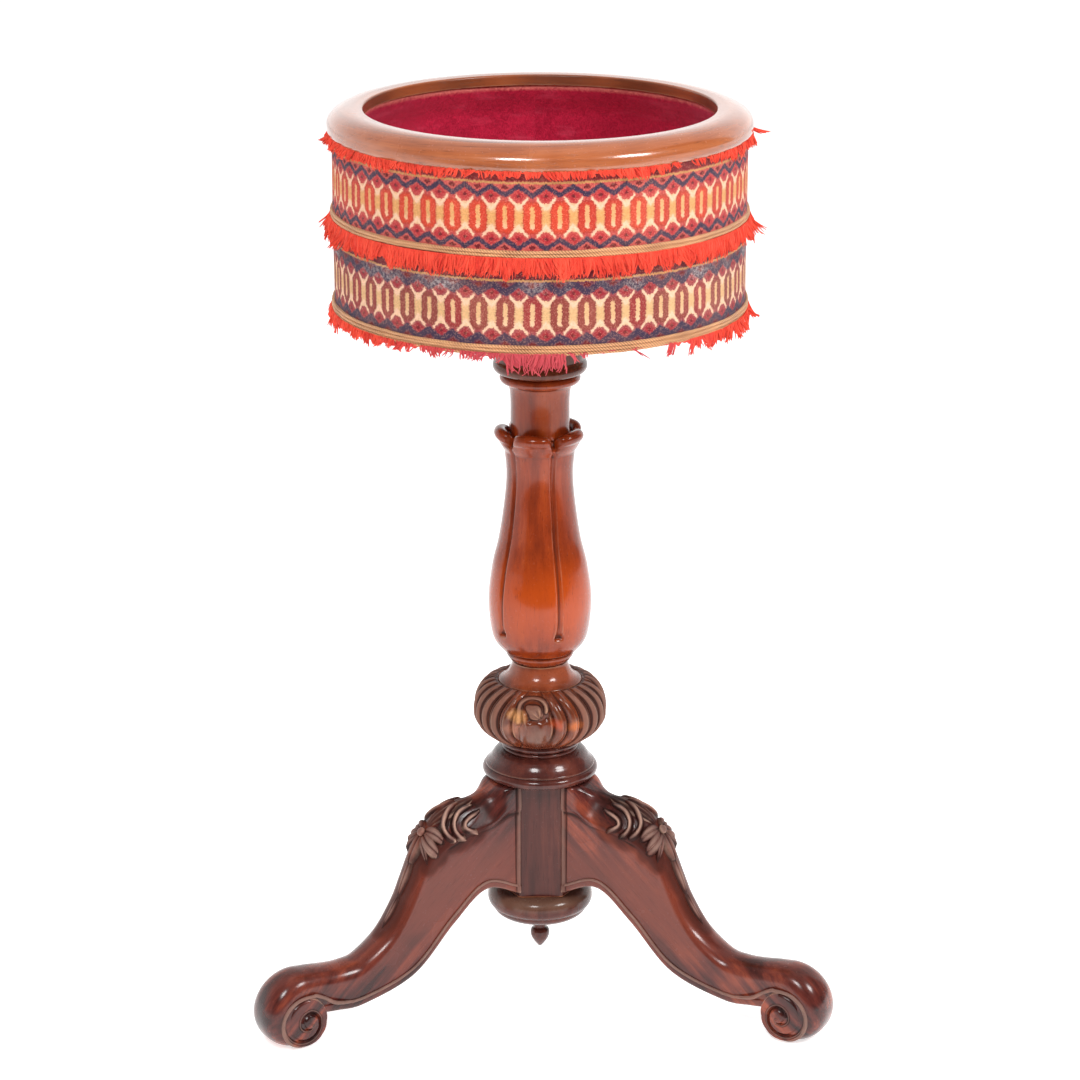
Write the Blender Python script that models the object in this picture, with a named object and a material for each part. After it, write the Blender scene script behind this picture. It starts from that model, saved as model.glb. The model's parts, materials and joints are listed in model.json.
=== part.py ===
"""Mid-Victorian jardiniere stand: a felt-lined drum on a carved pillar and three cabriole legs.

Units are metres, +Z is up and the floor is z = 0. The origin is where the pillar's axis meets the floor.
The stand's front, with a bare face of the leg block, is towards -Y. One empty carries every piece.
"""

import math

import bmesh
import bpy
from mathutils import Matrix, Vector

# Fits
GAP = 0.0003  # clearance between a piece and the piece that it seats on
TURN = 2 * math.pi

# Facets round a full turn
DRUM_STEPS = 40
TURNING_STEPS = 28
SMALL_STEPS = 16

# Leg block
BLOCK_BOTTOM = 0.0850  # above the floor
BLOCK_HEIGHT = 0.1020
BLOCK_APOTHEM = 0.0310  # axis to each of the six flats
MORTISE_RADIUS = 0.0130  # long round tenon of the pillar
MORTISE_FLOOR = 0.0300  # solid wood left under the mortise
LEG_COUNT = 3
REAR_LEG_ANGLE = math.radians(90)

# Sliding dovetails, one for each leg
DOVETAIL_DEPTH = 0.0120
DOVETAIL_NECK = 0.0140  # width at the shoulder
DOVETAIL_TAIL = 0.0200  # width at the inner end
DOVETAIL_STOP = 0.0120  # wood left above the housing

# Leg, drawn in its own plane as reach from the axis and height
LEG_THICKNESS = 0.0400
ANKLE_THICKNESS = 0.0330
LEG_TOP_DROP = 0.0016  # shoulder top below the block's top
LEG_TOE_RISE = 0.0050  # shoulder bottom above the block's bottom
NECK_RUN = 0.0180  # places on the crest, out from the shoulder and down from its top
NECK_DROP = 0.0006
DIP_RUN = 0.0330
DIP_DROP = 0.0070
BROW_RUN = 0.0600
BROW_DROP = 0.0105
KNEE_RUN = 0.0905
KNEE_DROP = 0.0450
SHIN_RUN = 0.1075
SHIN_DROP = 0.0845
ANKLE_REACH = 0.1760
ANKLE_TOP = 0.0620
ARCH_RUN = 0.0330  # places on the underside, out from the shoulder
ARCH_RISE = 0.0110
CALF_RUN = 0.0640
CALF_DROP = 0.0130
HOLLOW_REACH = 0.1330
HOLLOW_HEIGHT = 0.0395
INSTEP_REACH = 0.1800
INSTEP_HEIGHT = 0.0240
HEEL_HEIGHT = 0.0280
LEG_STATIONS = 23

# Scrolled foot
LEG_REACH = 0.2620  # axis to the tip of the toe
SCROLL_THICKNESS = 0.0460
SCROLL_TOE = 0.0330  # eye to the toe
SCROLL_TOP = 0.0440
SCROLL_SOLE = 0.0230  # eye to the sole before it's planed
SCROLL_HEEL = 0.0190
SOLE_FLAT = 0.0025  # depth planed off under the foot so that it stands
SCROLL_POINTS = 16

# Carved knee: a rosette on the crest, on a ribbed leaf that wraps the knee
ROSETTE_RUN = 0.0830  # out from the shoulder
ROSETTE_RADIUS = 0.0155
ROSETTE_RELIEF = 0.0060
ROSETTE_PETALS = 5
LEAF_RELIEF = 0.0055
LEAF_RIBS = 4
LEAF_START = 0.13  # shares of the crest's length
LEAF_END = 0.56

# Base boss and pendant under the block
BOSS_RADIUS = 0.0442
BOSS_HEIGHT = 0.0255
PENDANT_SPIGOT_RADIUS = 0.0040
PENDANT_SPIGOT_BITE = 0.0100  # into the block, past the boss
PENDANT_DROP = 0.0320
PENDANT_RADIUS = 0.0079
PENDANT_NECK_RADIUS = 0.0053

# Turned base ring and carved knop, both threaded on the pillar's tenon
RING_HEIGHT = 0.0326
RING_RADIUS = 0.0482
RING_BEAD_RADIUS = 0.0345
KNOP_HEIGHT = 0.0625
KNOP_RADIUS = 0.0555
KNOP_COLLAR_RADIUS = 0.0345
KNOP_COLLAR_HEIGHT = 0.0098
KNOP_SEAT_RADIUS = 0.0215  # where the pillar's shoulder rests
KNOP_LEAVES = 3
KNOP_RIBS = 18
KNOP_RIB_RELIEF = 0.0022
KNOP_RIB_BOW = 0.30  # how far, in radians, a rib bows away from its leaf's midrib
KNOP_STEPS = 72

# Pillar
BALUSTER_HEIGHT = 0.2060  # shoulder to the leaves' tips
BALUSTER_RADIUS = 0.0425
WAIST_RADIUS = 0.0269
NECK_RADIUS = 0.0248
NECK_HEIGHT = 0.0340
FLANGE_RADIUS = 0.0324
FLANGE_HEIGHT = 0.0082
LEAF_COUNT = 5
LEAF_LIP = 0.0370  # radius of the turned-over tips
LEAF_GROOVE = 0.0016
LEAF_TURN = math.radians(-105)  # a leaf's middle, to the left of the front
PILLAR_STEPS = 40

# Collar and bearer that carry the drum
COLLAR_RADIUS = 0.0367
COLLAR_HEIGHT = 0.0365
BEARER_RADIUS = 0.0750
BEARER_HEIGHT = 0.0240
SCREW_CIRCLE = 0.0520
SCREW_COUNT = 4
SCREW_SHANK = 0.0022
SCREW_HEAD = 0.0045
SCREW_LENGTH = 0.0300

# Drum
HOOP_RADIUS = 0.1627
HOOP_WALL = 0.0080
HOOP_HEIGHT = 0.1497
FLOOR_THICKNESS = 0.0120
FELT = 0.0025
RIM_OVERHANG = 0.0035  # past the textile
RIM_LEDGE = 0.0147  # inwards past the hoop's wall
RIM_LIP = 0.0090  # thickness over the hoop
RIM_APRON = 0.0110  # how far it hangs over the textile

# Textile round the drum
BAND = 0.0022
BAND_SPLIT = 0.0752  # top of the lower band above the drum's bottom
BRAID = 0.0018
BRAID_HEIGHT = 0.0085
FRINGE = 0.0022
FRINGE_FLARE = 0.0060
TOP_FRINGE_LENGTH = 0.0100
MIDDLE_FRINGE_LENGTH = 0.0195
BOTTOM_FRINGE_LENGTH = 0.0120
FRINGE_TUFTS = 40

# Heights that follow from the stack
BLOCK_TOP = BLOCK_BOTTOM + BLOCK_HEIGHT
MORTISE_BOTTOM = BLOCK_BOTTOM + MORTISE_FLOOR
RING_BOTTOM = BLOCK_TOP + GAP
RING_TOP = RING_BOTTOM + RING_HEIGHT
KNOP_BOTTOM = RING_TOP + GAP
KNOP_TOP = KNOP_BOTTOM + KNOP_HEIGHT
PILLAR_SHOULDER = KNOP_TOP + GAP
LEAF_TIP = PILLAR_SHOULDER + BALUSTER_HEIGHT
FLANGE_BOTTOM = LEAF_TIP + NECK_HEIGHT
FLANGE_TOP = FLANGE_BOTTOM + FLANGE_HEIGHT
COLLAR_BOTTOM = FLANGE_TOP + GAP
COLLAR_TOP = COLLAR_BOTTOM + COLLAR_HEIGHT
BEARER_BOTTOM = COLLAR_TOP + GAP
BEARER_TOP = BEARER_BOTTOM + BEARER_HEIGHT
DRUM_BOTTOM = BEARER_TOP + GAP
FLOOR_TOP = DRUM_BOTTOM + FLOOR_THICKNESS
HOOP_TOP = DRUM_BOTTOM + HOOP_HEIGHT
RIM_BOTTOM = HOOP_TOP + GAP
RIM_TOP = RIM_BOTTOM + RIM_LIP
APRON_BOTTOM = RIM_BOTTOM - RIM_APRON

# Radii that follow from the drum's hoop
HOOP_INSIDE = HOOP_RADIUS - HOOP_WALL
BAND_INSIDE = HOOP_RADIUS + GAP
BAND_OUTSIDE = BAND_INSIDE + BAND
TRIM_INSIDE = BAND_OUTSIDE + GAP
RIM_OUTER_RADIUS = TRIM_INSIDE + RIM_OVERHANG
RIM_INNER_RADIUS = HOOP_INSIDE - RIM_LEDGE
SOCKET_RADIUS = MORTISE_RADIUS + GAP
SPIGOT_SOCKET = PENDANT_SPIGOT_RADIUS + GAP

# Places on the leg that follow from the block and the foot
LEG_SHOULDER = BLOCK_APOTHEM + GAP
LEG_SHOULDER_TOP = BLOCK_TOP - LEG_TOP_DROP
LEG_SHOULDER_BOTTOM = BLOCK_BOTTOM + LEG_TOE_RISE
SCROLL_REACH = LEG_REACH - SCROLL_TOE
SCROLL_EYE = SCROLL_SOLE - SOLE_FLAT
BOSS_BOTTOM = BLOCK_BOTTOM - GAP - BOSS_HEIGHT


# Modelling tools


def clear_scene():
    for obj in list(bpy.data.objects):
        bpy.data.objects.remove(obj, do_unlink=True)


def finish(name, colour, roughness, metallic=0.0):
    """A Principled material with the piece's own colour and polish."""
    material = bpy.data.materials.new(name)
    material.use_nodes = True
    shader = material.node_tree.nodes["Principled BSDF"]
    shader.inputs["Base Color"].default_value = (*colour, 1.0)
    shader.inputs["Roughness"].default_value = roughness
    shader.inputs["Metallic"].default_value = metallic
    return material


def placed(name, mesh, material, parent, angle=0.0, location=(0, 0, 0)):
    """An object of this mesh, turned about the pillar's axis and carried by the parent."""
    obj = bpy.data.objects.new(name, mesh)
    bpy.context.scene.collection.objects.link(obj)
    if not mesh.materials:
        mesh.materials.append(material)
    obj.parent = parent
    obj.location = location
    obj.rotation_euler.z = angle
    return obj


def closed_mesh(name, bm):
    """The mesh of a bmesh, with doubles merged, flat facets facing out and round stretches smooth."""
    bmesh.ops.remove_doubles(bm, verts=bm.verts, dist=1e-6)
    bmesh.ops.recalc_face_normals(bm, faces=bm.faces)
    bmesh.ops.triangulate(bm, faces=bm.faces)
    mesh = bpy.data.meshes.new(name)
    bm.to_mesh(mesh)
    bm.free()
    mesh.shade_smooth()
    mesh.set_sharp_from_angle(angle=math.radians(35))
    return mesh


def turned(name, outline, steps):
    """A turned solid from (radius, height) points. An outline that leaves the axis open is a ring."""
    bm = bmesh.new()
    points = [bm.verts.new((r, 0, z)) for r, z in outline]
    pairs = list(zip(points, points[1:]))
    if outline[0][0] > 0:
        pairs.append((points[-1], points[0]))
    edges = [bm.edges.new(pair) for pair in pairs]
    bmesh.ops.spin(
        bm, geom=points + edges, axis=(0, 0, 1), cent=(0, 0, 0), angle=TURN, steps=steps, use_merge=True
    )
    return closed_mesh(name, bm)


def skinned(name, sections, run_closes):
    """A solid skinned over closed sections. Where the run of sections doesn't close, its ends are capped."""
    bm = bmesh.new()
    loops = [[bm.verts.new(p) for p in section] for section in sections]
    followers = loops[1:] + loops[:1] if run_closes else loops[1:]
    for here, there in zip(loops, followers):
        for i, j in zip(range(-1, len(here) - 1), range(len(here))):
            bm.faces.new((here[i], here[j], there[j], there[i]))
    bmesh.ops.holes_fill(bm, edges=[e for e in bm.edges if e.is_boundary])
    return closed_mesh(name, bm)


def arc(centre, radius_in, radius_up, start, end, count):
    """Points on an elliptical arc in (radius, height), from start to end in degrees."""
    angles = [math.radians(start + (end - start) * i / (count - 1)) for i in range(count)]
    return [(centre[0] + radius_in * math.cos(a), centre[1] + radius_up * math.sin(a)) for a in angles]


def through(points, count):
    """Evenly spaced points on a Catmull-Rom curve through these."""
    knots = [Vector(p) for p in points]
    knots = [2 * knots[0] - knots[1], *knots, 2 * knots[-1] - knots[-2]]
    fine = []
    for a, b, c, d in zip(knots, knots[1:], knots[2:], knots[3:]):
        for i in range(16):
            t = i / 16
            fine.append(0.5 * (2 * b + (c - a) * t + (2 * a - 5 * b + 4 * c - d) * t**2
                               + (3 * b - a - 3 * c + d) * t**3))
    fine.append(knots[-2])
    lengths = [0.0]
    for a, b in zip(fine, fine[1:]):
        lengths.append(lengths[-1] + (b - a).length)
    even, k = [], 0
    for i in range(count):
        want = lengths[-1] * i / (count - 1)
        while k < len(fine) - 2 and lengths[k + 1] < want:
            k += 1
        share = (want - lengths[k]) / (lengths[k + 1] - lengths[k])
        even.append(fine[k].lerp(fine[k + 1], share))
    return even


def helper(name, mesh, operation, target):
    """A hidden operand whose Boolean shapes the target."""
    obj = bpy.data.objects.new(name, mesh)
    bpy.context.scene.collection.objects.link(obj)
    obj.hide_render = True
    obj.display_type = "WIRE"
    obj.parent = target.parent
    modifier = target.modifiers.new(name, "BOOLEAN")
    modifier.operation = operation
    modifier.solver = "EXACT"
    modifier.object = obj
    return obj


def ease(share):
    """A smooth step from 0 to 1."""
    share = min(max(share, 0.0), 1.0)
    return share * share * (3 - 2 * share)


# Base: block, boss and pendant


def dovetail(name, slack, bottom, top):
    """The tail along +X, grown by the slack where it's a housing."""
    inner = BLOCK_APOTHEM - DOVETAIL_DEPTH - slack
    outer = LEG_SHOULDER + GAP
    neck = DOVETAIL_NECK / 2 + slack
    tail = DOVETAIL_TAIL / 2 + slack
    plan = ((inner, -tail), (outer, -neck), (outer, neck), (inner, tail))
    return skinned(name, [[(x, y, z) for x, y in plan] for z in (bottom, top)], run_closes=False)


def make_block(root, wood):
    bm = bmesh.new()
    bmesh.ops.create_cone(
        bm,
        cap_ends=True,
        segments=2 * LEG_COUNT,
        radius1=BLOCK_APOTHEM / math.cos(math.pi / 6),
        radius2=BLOCK_APOTHEM / math.cos(math.pi / 6),
        depth=BLOCK_HEIGHT,
        matrix=Matrix.Translation((0, 0, BLOCK_BOTTOM + BLOCK_HEIGHT / 2)) @ Matrix.Rotation(math.pi / 6, 4, "Z"),
    )
    block = placed("leg_block", closed_mesh("leg_block", bm), wood, root)
    mortise = [(0, BLOCK_TOP + GAP), (SOCKET_RADIUS, BLOCK_TOP + GAP), (SOCKET_RADIUS, MORTISE_BOTTOM - GAP),
               (0, MORTISE_BOTTOM - GAP)]
    helper("mortise_cut", turned("mortise_cut", mortise, SMALL_STEPS), "DIFFERENCE", block)
    spigot_top = BLOCK_BOTTOM + PENDANT_SPIGOT_BITE + GAP
    spigot = [(0, spigot_top), (SPIGOT_SOCKET, spigot_top), (SPIGOT_SOCKET, BLOCK_BOTTOM - GAP),
              (0, BLOCK_BOTTOM - GAP)]
    helper("spigot_cut", turned("spigot_cut", spigot, SMALL_STEPS), "DIFFERENCE", block)
    housing = dovetail("housing_cut", GAP, BLOCK_BOTTOM - GAP, BLOCK_TOP - DOVETAIL_STOP + GAP)
    for i in range(LEG_COUNT):
        cut = helper(f"housing_cut_{i}", housing, "DIFFERENCE", block)
        cut.rotation_euler.z = REAR_LEG_ANGLE + TURN * i / LEG_COUNT


def make_boss(root, wood):
    top = BLOCK_BOTTOM - GAP
    round_up = BOSS_HEIGHT * 0.36
    round_in = BOSS_RADIUS * 0.16
    belt = top - round_up
    under = BOSS_BOTTOM + BOSS_HEIGHT * 0.42
    outline = [
        (SPIGOT_SOCKET, top),
        *arc((BOSS_RADIUS - round_in, belt), round_in, round_up, 90, -60, 4),
        (BOSS_RADIUS * 0.93, under),
        *arc((BOSS_RADIUS * 0.62, under), BOSS_RADIUS * 0.28, under - BOSS_BOTTOM, 0, -90, 3),
        (SPIGOT_SOCKET, BOSS_BOTTOM),
    ]
    placed("base_boss", turned("base_boss", outline, TURNING_STEPS), wood, root)


def make_pendant(root, wood):
    seat = BOSS_BOTTOM - GAP
    tip = seat - PENDANT_DROP
    bulb = tip + PENDANT_DROP * 0.32
    spigot_top = BLOCK_BOTTOM + PENDANT_SPIGOT_BITE
    outline = [
        (0, spigot_top),
        (PENDANT_SPIGOT_RADIUS, spigot_top),
        (PENDANT_SPIGOT_RADIUS, seat),
        (PENDANT_NECK_RADIUS * 1.35, seat),
        (PENDANT_NECK_RADIUS, seat - PENDANT_DROP * 0.14),
        (PENDANT_NECK_RADIUS, bulb + PENDANT_DROP * 0.20),
        (PENDANT_RADIUS * 0.90, bulb + PENDANT_DROP * 0.15),
        (PENDANT_RADIUS, bulb),
        (PENDANT_RADIUS * 0.62, tip + PENDANT_DROP * 0.14),
        (0, tip),
    ]
    placed("pendant_finial", turned("pendant_finial", outline, SMALL_STEPS), wood, root)


# Cabriole legs


def leg_contours():
    """The crest and the underside of a leg, as points in its plane from the shoulder to the foot."""
    crest = [
        (LEG_SHOULDER, 0, LEG_SHOULDER_TOP),
        (LEG_SHOULDER + NECK_RUN, 0, LEG_SHOULDER_TOP - NECK_DROP),
        (LEG_SHOULDER + DIP_RUN, 0, LEG_SHOULDER_TOP - DIP_DROP),
        (LEG_SHOULDER + BROW_RUN, 0, LEG_SHOULDER_TOP - BROW_DROP),
        (LEG_SHOULDER + KNEE_RUN, 0, LEG_SHOULDER_TOP - KNEE_DROP),
        (LEG_SHOULDER + SHIN_RUN, 0, LEG_SHOULDER_TOP - SHIN_DROP),
        (ANKLE_REACH, 0, ANKLE_TOP),
        (SCROLL_REACH, 0, SCROLL_EYE + SCROLL_TOP * 0.97),
    ]
    under = [
        (LEG_SHOULDER, 0, LEG_SHOULDER_BOTTOM),
        (LEG_SHOULDER + ARCH_RUN, 0, LEG_SHOULDER_BOTTOM + ARCH_RISE),
        (LEG_SHOULDER + CALF_RUN, 0, LEG_SHOULDER_BOTTOM - CALF_DROP),
        (HOLLOW_REACH, 0, HOLLOW_HEIGHT),
        (INSTEP_REACH, 0, INSTEP_HEIGHT),
        (SCROLL_REACH, 0, HEEL_HEIGHT),
    ]
    return through(crest, LEG_STATIONS), through(under, LEG_STATIONS)


def knee_leaf(share, up):
    """How far the knee's leaf stands off the leg, at a share of the crest's length and of the height."""
    along = (share - LEAF_START) / (LEAF_END - LEAF_START)
    if not 0 < along < 1:
        return 0.0
    reach = 0.35 + 0.55 * along  # the leaf wraps far down the sides behind the knee and ends as a husk
    ribs = 0.55 + 0.45 * abs(math.cos(math.pi * LEAF_RIBS * along))
    return LEAF_RELIEF * ease(4 * along) * ease(2.5 * (1 - along)) * ease((up - reach) / 0.12 + 0.5) * ribs


def leg_body():
    """The leg from its shoulder to the inside of the scroll, flat-sided with a rounded crest."""
    # Half of a section, as shares of the half thickness and of the height, from the sole to the crest
    half = ((0.84, 0.0), (1.0, 0.07), (1.0, 0.34), (1.0, 0.62), (0.87, 0.84), (0.50, 0.96))
    crest, under = leg_contours()
    sections = []
    for i, (top, bottom) in enumerate(zip(crest, under)):
        share = i / (LEG_STATIONS - 1)
        taper = ease(i / (LEG_STATIONS - 5))
        width = (LEG_THICKNESS + (ANKLE_THICKNESS - LEG_THICKNESS) * taper) / 2
        rise = (top - bottom).normalized()
        across = [(-a, h) for a, h in half] + [(0.0, 1.0)] + [(a, h) for a, h in half[::-1]]
        section = []
        for a, h in across:
            lift = knee_leaf(share, h)
            out = rise * lift * (1 - abs(a)) + Vector((0, a * (width + lift), 0))
            section.append(bottom.lerp(top, h) + out)
        sections.append(section)
    return skinned("leg_body", sections, run_closes=False)


def scroll_radius(angle):
    """Eye to edge of the foot's scroll, eased between toe, top, heel and sole."""
    spokes = (SCROLL_TOE, SCROLL_TOP, SCROLL_HEEL, SCROLL_SOLE)
    quarter, share = divmod((angle % TURN) / (TURN / 4), 1)
    here, there = spokes[int(quarter) % 4], spokes[(int(quarter) + 1) % 4]
    return here + (there - here) * ease(share)


def scroll_foot():
    """The scroll as a thick disc with round edges, a sunk volute on each side and a raised eye."""
    # Shares of the half thickness and of the outline, from the middle to the eye
    side = ((0.40, 1.0), (0.78, 0.93), (1.0, 0.74), (0.91, 0.64), (0.91, 0.40), (1.0, 0.30))
    layers = [(-a, s) for a, s in side[::-1]] + list(side)
    floor = SOLE_FLAT - SCROLL_SOLE
    sections = []
    for across, scale in layers:
        loop = []
        for i in range(SCROLL_POINTS):
            angle = TURN * i / SCROLL_POINTS
            reach = scroll_radius(angle) * scale
            low = max(reach * math.sin(angle), floor)
            loop.append((SCROLL_REACH + reach * math.cos(angle), across * SCROLL_THICKNESS / 2, SCROLL_EYE + low))
        sections.append(loop)
    return skinned("scroll_foot", sections, run_closes=False)


def knee_rosette():
    """A petalled flower let into the knee's crest, facing up and out, with a domed eye."""
    crest, _ = leg_contours()
    k = min(range(1, LEG_STATIONS), key=lambda i: abs(crest[i].x - LEG_SHOULDER - ROSETTE_RUN))
    down = (crest[k + 1] - crest[k - 1]).normalized()
    out = Vector((-down.z, 0, down.x))
    side = Vector((0, 1, 0))
    # Shares of the radius and of the relief, from the root in the wood to the eye
    steps = ((0.80, -1.6), (1.0, 0.0), (0.80, 0.75), (0.42, 0.45), (0.26, 1.0))
    count = 4 * ROSETTE_PETALS
    sections = []
    for wide, high in steps:
        loop = []
        for i in range(count):
            turn = TURN * (i + 0.3) / count
            notch = 0.80 + 0.20 * abs(math.cos(turn * ROSETTE_PETALS / 2)) if wide > 0.5 else 1.0
            reach = ROSETTE_RADIUS * wide * notch
            curl = 0.30 * (reach * math.sin(turn)) ** 2 / ROSETTE_RADIUS
            at = down * math.cos(turn) * reach + side * math.sin(turn) * reach
            loop.append(crest[k] + at + out * (ROSETTE_RELIEF * high - curl))
        sections.append(loop)
    return skinned("knee_rosette", sections, run_closes=False)


def make_legs(root, wood):
    template = placed("leg_template", leg_body(), wood, None)
    operands = [scroll_foot(), knee_rosette()]
    tail_bottom, tail_top = BLOCK_BOTTOM + GAP, BLOCK_TOP - DOVETAIL_STOP
    operands.append(dovetail("leg_tail", 0.0, tail_bottom, tail_top))
    helpers = [helper(mesh.name, mesh, "UNION", template) for mesh in operands]
    bpy.context.view_layer.update()
    graph = bpy.context.evaluated_depsgraph_get()
    mesh = bpy.data.meshes.new_from_object(template.evaluated_get(graph))
    for obj in (template, *helpers):
        bpy.data.objects.remove(obj, do_unlink=True)
    for i, name in enumerate(("leg_rear", "leg_front_left", "leg_front_right")):
        placed(name, mesh, wood, root, angle=REAR_LEG_ANGLE + TURN * i / LEG_COUNT)


# Column: base ring, carved knop and pillar


def make_base_ring(root, wood):
    bead = RING_HEIGHT * 0.21
    dome_top = RING_BOTTOM + RING_HEIGHT * 0.62
    outline = [
        (SOCKET_RADIUS, RING_TOP),
        *arc((RING_BEAD_RADIUS * 0.93, RING_TOP - RING_HEIGHT * 0.10), RING_BEAD_RADIUS * 0.07,
             RING_HEIGHT * 0.10, 90, -90, 4),
        *arc((RING_BEAD_RADIUS * 0.90, RING_TOP - RING_HEIGHT * 0.28), RING_BEAD_RADIUS * 0.05,
             RING_HEIGHT * 0.07, 70, -70, 3),
        *arc((RING_BEAD_RADIUS * 0.86, RING_BOTTOM + bead), RING_RADIUS * 0.95 - RING_BEAD_RADIUS * 0.86,
             dome_top - RING_BOTTOM - bead, 80, 6, 4),
        *arc((RING_RADIUS - bead * 0.5, RING_BOTTOM + bead / 2), bead * 0.5, bead * 0.5, 80, -80, 4),
        (RING_RADIUS * 0.93, RING_BOTTOM),
        (SOCKET_RADIUS, RING_BOTTOM),
    ]
    placed("base_ring", turned("base_ring", outline, TURNING_STEPS), wood, root)


def knop_relief(turn, height):
    """0 in the cuts between the knop's ribs, 1 on their backs. The ribs bow away from each leaf's midrib."""
    leaf = TURN / KNOP_LEAVES
    aside = abs((turn - math.radians(-90) + leaf / 2) % leaf - leaf / 2)
    bow = KNOP_RIB_BOW * (1 - height * height)
    return abs(math.cos((aside - bow) * KNOP_RIBS / 2))


def make_knop(root, wood):
    bun_top = KNOP_TOP - KNOP_COLLAR_HEIGHT
    half = (bun_top - KNOP_BOTTOM) / 2
    middle = KNOP_BOTTOM + half
    inner = KNOP_COLLAR_RADIUS
    swell = arc((inner, middle), KNOP_RADIUS - inner, half, -84, 84, 7)
    collar = arc((KNOP_SEAT_RADIUS, bun_top), KNOP_COLLAR_RADIUS * 0.96 - KNOP_SEAT_RADIUS, KNOP_COLLAR_HEIGHT, 0, 90, 3)
    plain = [(SOCKET_RADIUS, KNOP_TOP), (SOCKET_RADIUS, KNOP_BOTTOM)]
    sections = []
    for i in range(KNOP_STEPS):
        turn = TURN * i / KNOP_STEPS
        section = [(r, z) for r, z in plain]
        for r, z in swell:
            height = (z - middle) / half
            cut = (1 - knop_relief(turn, height)) * (1 - height**4)
            section.append((r - KNOP_RIB_RELIEF * cut, z))
        section += collar
        sections.append([(r * math.cos(turn), r * math.sin(turn), z) for r, z in section])
    placed("carved_knop", skinned("carved_knop", sections, run_closes=True), wood, root)


def pillar_outline():
    """The turned outline of the pillar's leaf-carved part, as (radius, height, groove, lip) rows.

    Groove says how deep the cuts between leaves are there, and lip how far a leaf's tip stands out.
    """
    foot = PILLAR_SHOULDER
    lip_base = LEAF_TIP - 0.0150
    belly = foot + BALUSTER_HEIGHT * 0.28
    waist = foot + BALUSTER_HEIGHT * 0.80
    body = through(
        [
            (BALUSTER_RADIUS * 0.72, foot + BALUSTER_HEIGHT * 0.070, 0),
            (BALUSTER_RADIUS * 0.93, foot + BALUSTER_HEIGHT * 0.140, 0),
            (BALUSTER_RADIUS, belly, 0),
            (BALUSTER_RADIUS * 0.78, foot + BALUSTER_HEIGHT * 0.530, 0),
            (WAIST_RADIUS, waist, 0),
            (WAIST_RADIUS * 1.10, lip_base, 0),
        ],
        9,
    )
    rows = [
        (KNOP_SEAT_RADIUS, foot, 0, 0),
        (BALUSTER_RADIUS * 0.67, foot + BALUSTER_HEIGHT * 0.055, 0, 0),
        (BALUSTER_RADIUS * 0.64, foot + BALUSTER_HEIGHT * 0.064, 0, 0),
    ]
    for point in body:
        share = (point.y - foot) / BALUSTER_HEIGHT
        rows.append((point.x, point.y, ease((share - 0.14) / 0.06), 0))
    rise = LEAF_TIP - lip_base
    curl = arc((LEAF_LIP - rise * 0.36, LEAF_TIP - rise * 0.36), rise * 0.36, rise * 0.36, -70, 150, 5)
    neck = NECK_RADIUS * 1.02
    for i, (r, z) in enumerate(curl):
        rows.append((r, z, 1, (neck, lip_base + rise * 0.04 * (i + 1))))
    rows.append((neck, LEAF_TIP - rise * 0.60, 0, (neck, lip_base + rise * 0.30)))
    return rows


def make_pillar(root, wood):
    rows = pillar_outline()
    crown = [
        (NECK_RADIUS, FLANGE_BOTTOM - NECK_HEIGHT * 0.22),
        (NECK_RADIUS * 1.09, FLANGE_BOTTOM),
        *arc((FLANGE_RADIUS * 0.95, FLANGE_BOTTOM + FLANGE_HEIGHT / 2), FLANGE_RADIUS * 0.05, FLANGE_HEIGHT / 2, -90, 90, 4),
    ]
    tenon_top = BEARER_TOP
    leaf = TURN / LEAF_COUNT
    sections = []
    for i in range(PILLAR_STEPS):
        turn = LEAF_TURN + TURN * i / PILLAR_STEPS
        aside = abs((turn - LEAF_TURN + leaf / 2) % leaf - leaf / 2) / (leaf / 2)
        cut = max(0.0, 1 - (1 - aside) * LEAF_COUNT)
        spread = 1 - aside**4
        section = [(MORTISE_RADIUS, MORTISE_BOTTOM), (MORTISE_RADIUS, PILLAR_SHOULDER)]
        for r, z, groove, lip in rows:
            if lip:
                r, z = lip[0] + (r - lip[0]) * spread, lip[1] + (z - lip[1]) * spread
            section.append((r - (0 if lip else LEAF_GROOVE * groove * cut), z))
        section += crown + [(MORTISE_RADIUS, FLANGE_TOP), (MORTISE_RADIUS, tenon_top)]
        sections.append(section)
    bm = bmesh.new()
    columns = []
    for i, section in enumerate(sections):
        turn = LEAF_TURN + TURN * i / PILLAR_STEPS
        columns.append([bm.verts.new((r * math.cos(turn), r * math.sin(turn), z)) for r, z in section])
    for here, there in zip(columns, columns[1:] + columns[:1]):
        for j in range(len(here) - 1):
            bm.faces.new((here[j], there[j], there[j + 1], here[j + 1]))
    bmesh.ops.holes_fill(bm, edges=[e for e in bm.edges if e.is_boundary])
    placed("pillar", closed_mesh("pillar", bm), wood, root)


# What carries the drum


def make_collar(root, wood):
    chamfer = COLLAR_HEIGHT * 0.07
    outline = [
        (SOCKET_RADIUS, COLLAR_TOP),
        (COLLAR_RADIUS, COLLAR_TOP),
        (COLLAR_RADIUS, COLLAR_BOTTOM + chamfer),
        (COLLAR_RADIUS - chamfer, COLLAR_BOTTOM),
        (SOCKET_RADIUS, COLLAR_BOTTOM),
    ]
    placed("pillar_collar", turned("pillar_collar", outline, TURNING_STEPS), wood, root)


def screw_places():
    turns = [TURN * (i + 0.5) / SCREW_COUNT for i in range(SCREW_COUNT)]
    return [(SCREW_CIRCLE * math.cos(a), SCREW_CIRCLE * math.sin(a), BEARER_BOTTOM) for a in turns]


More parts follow.
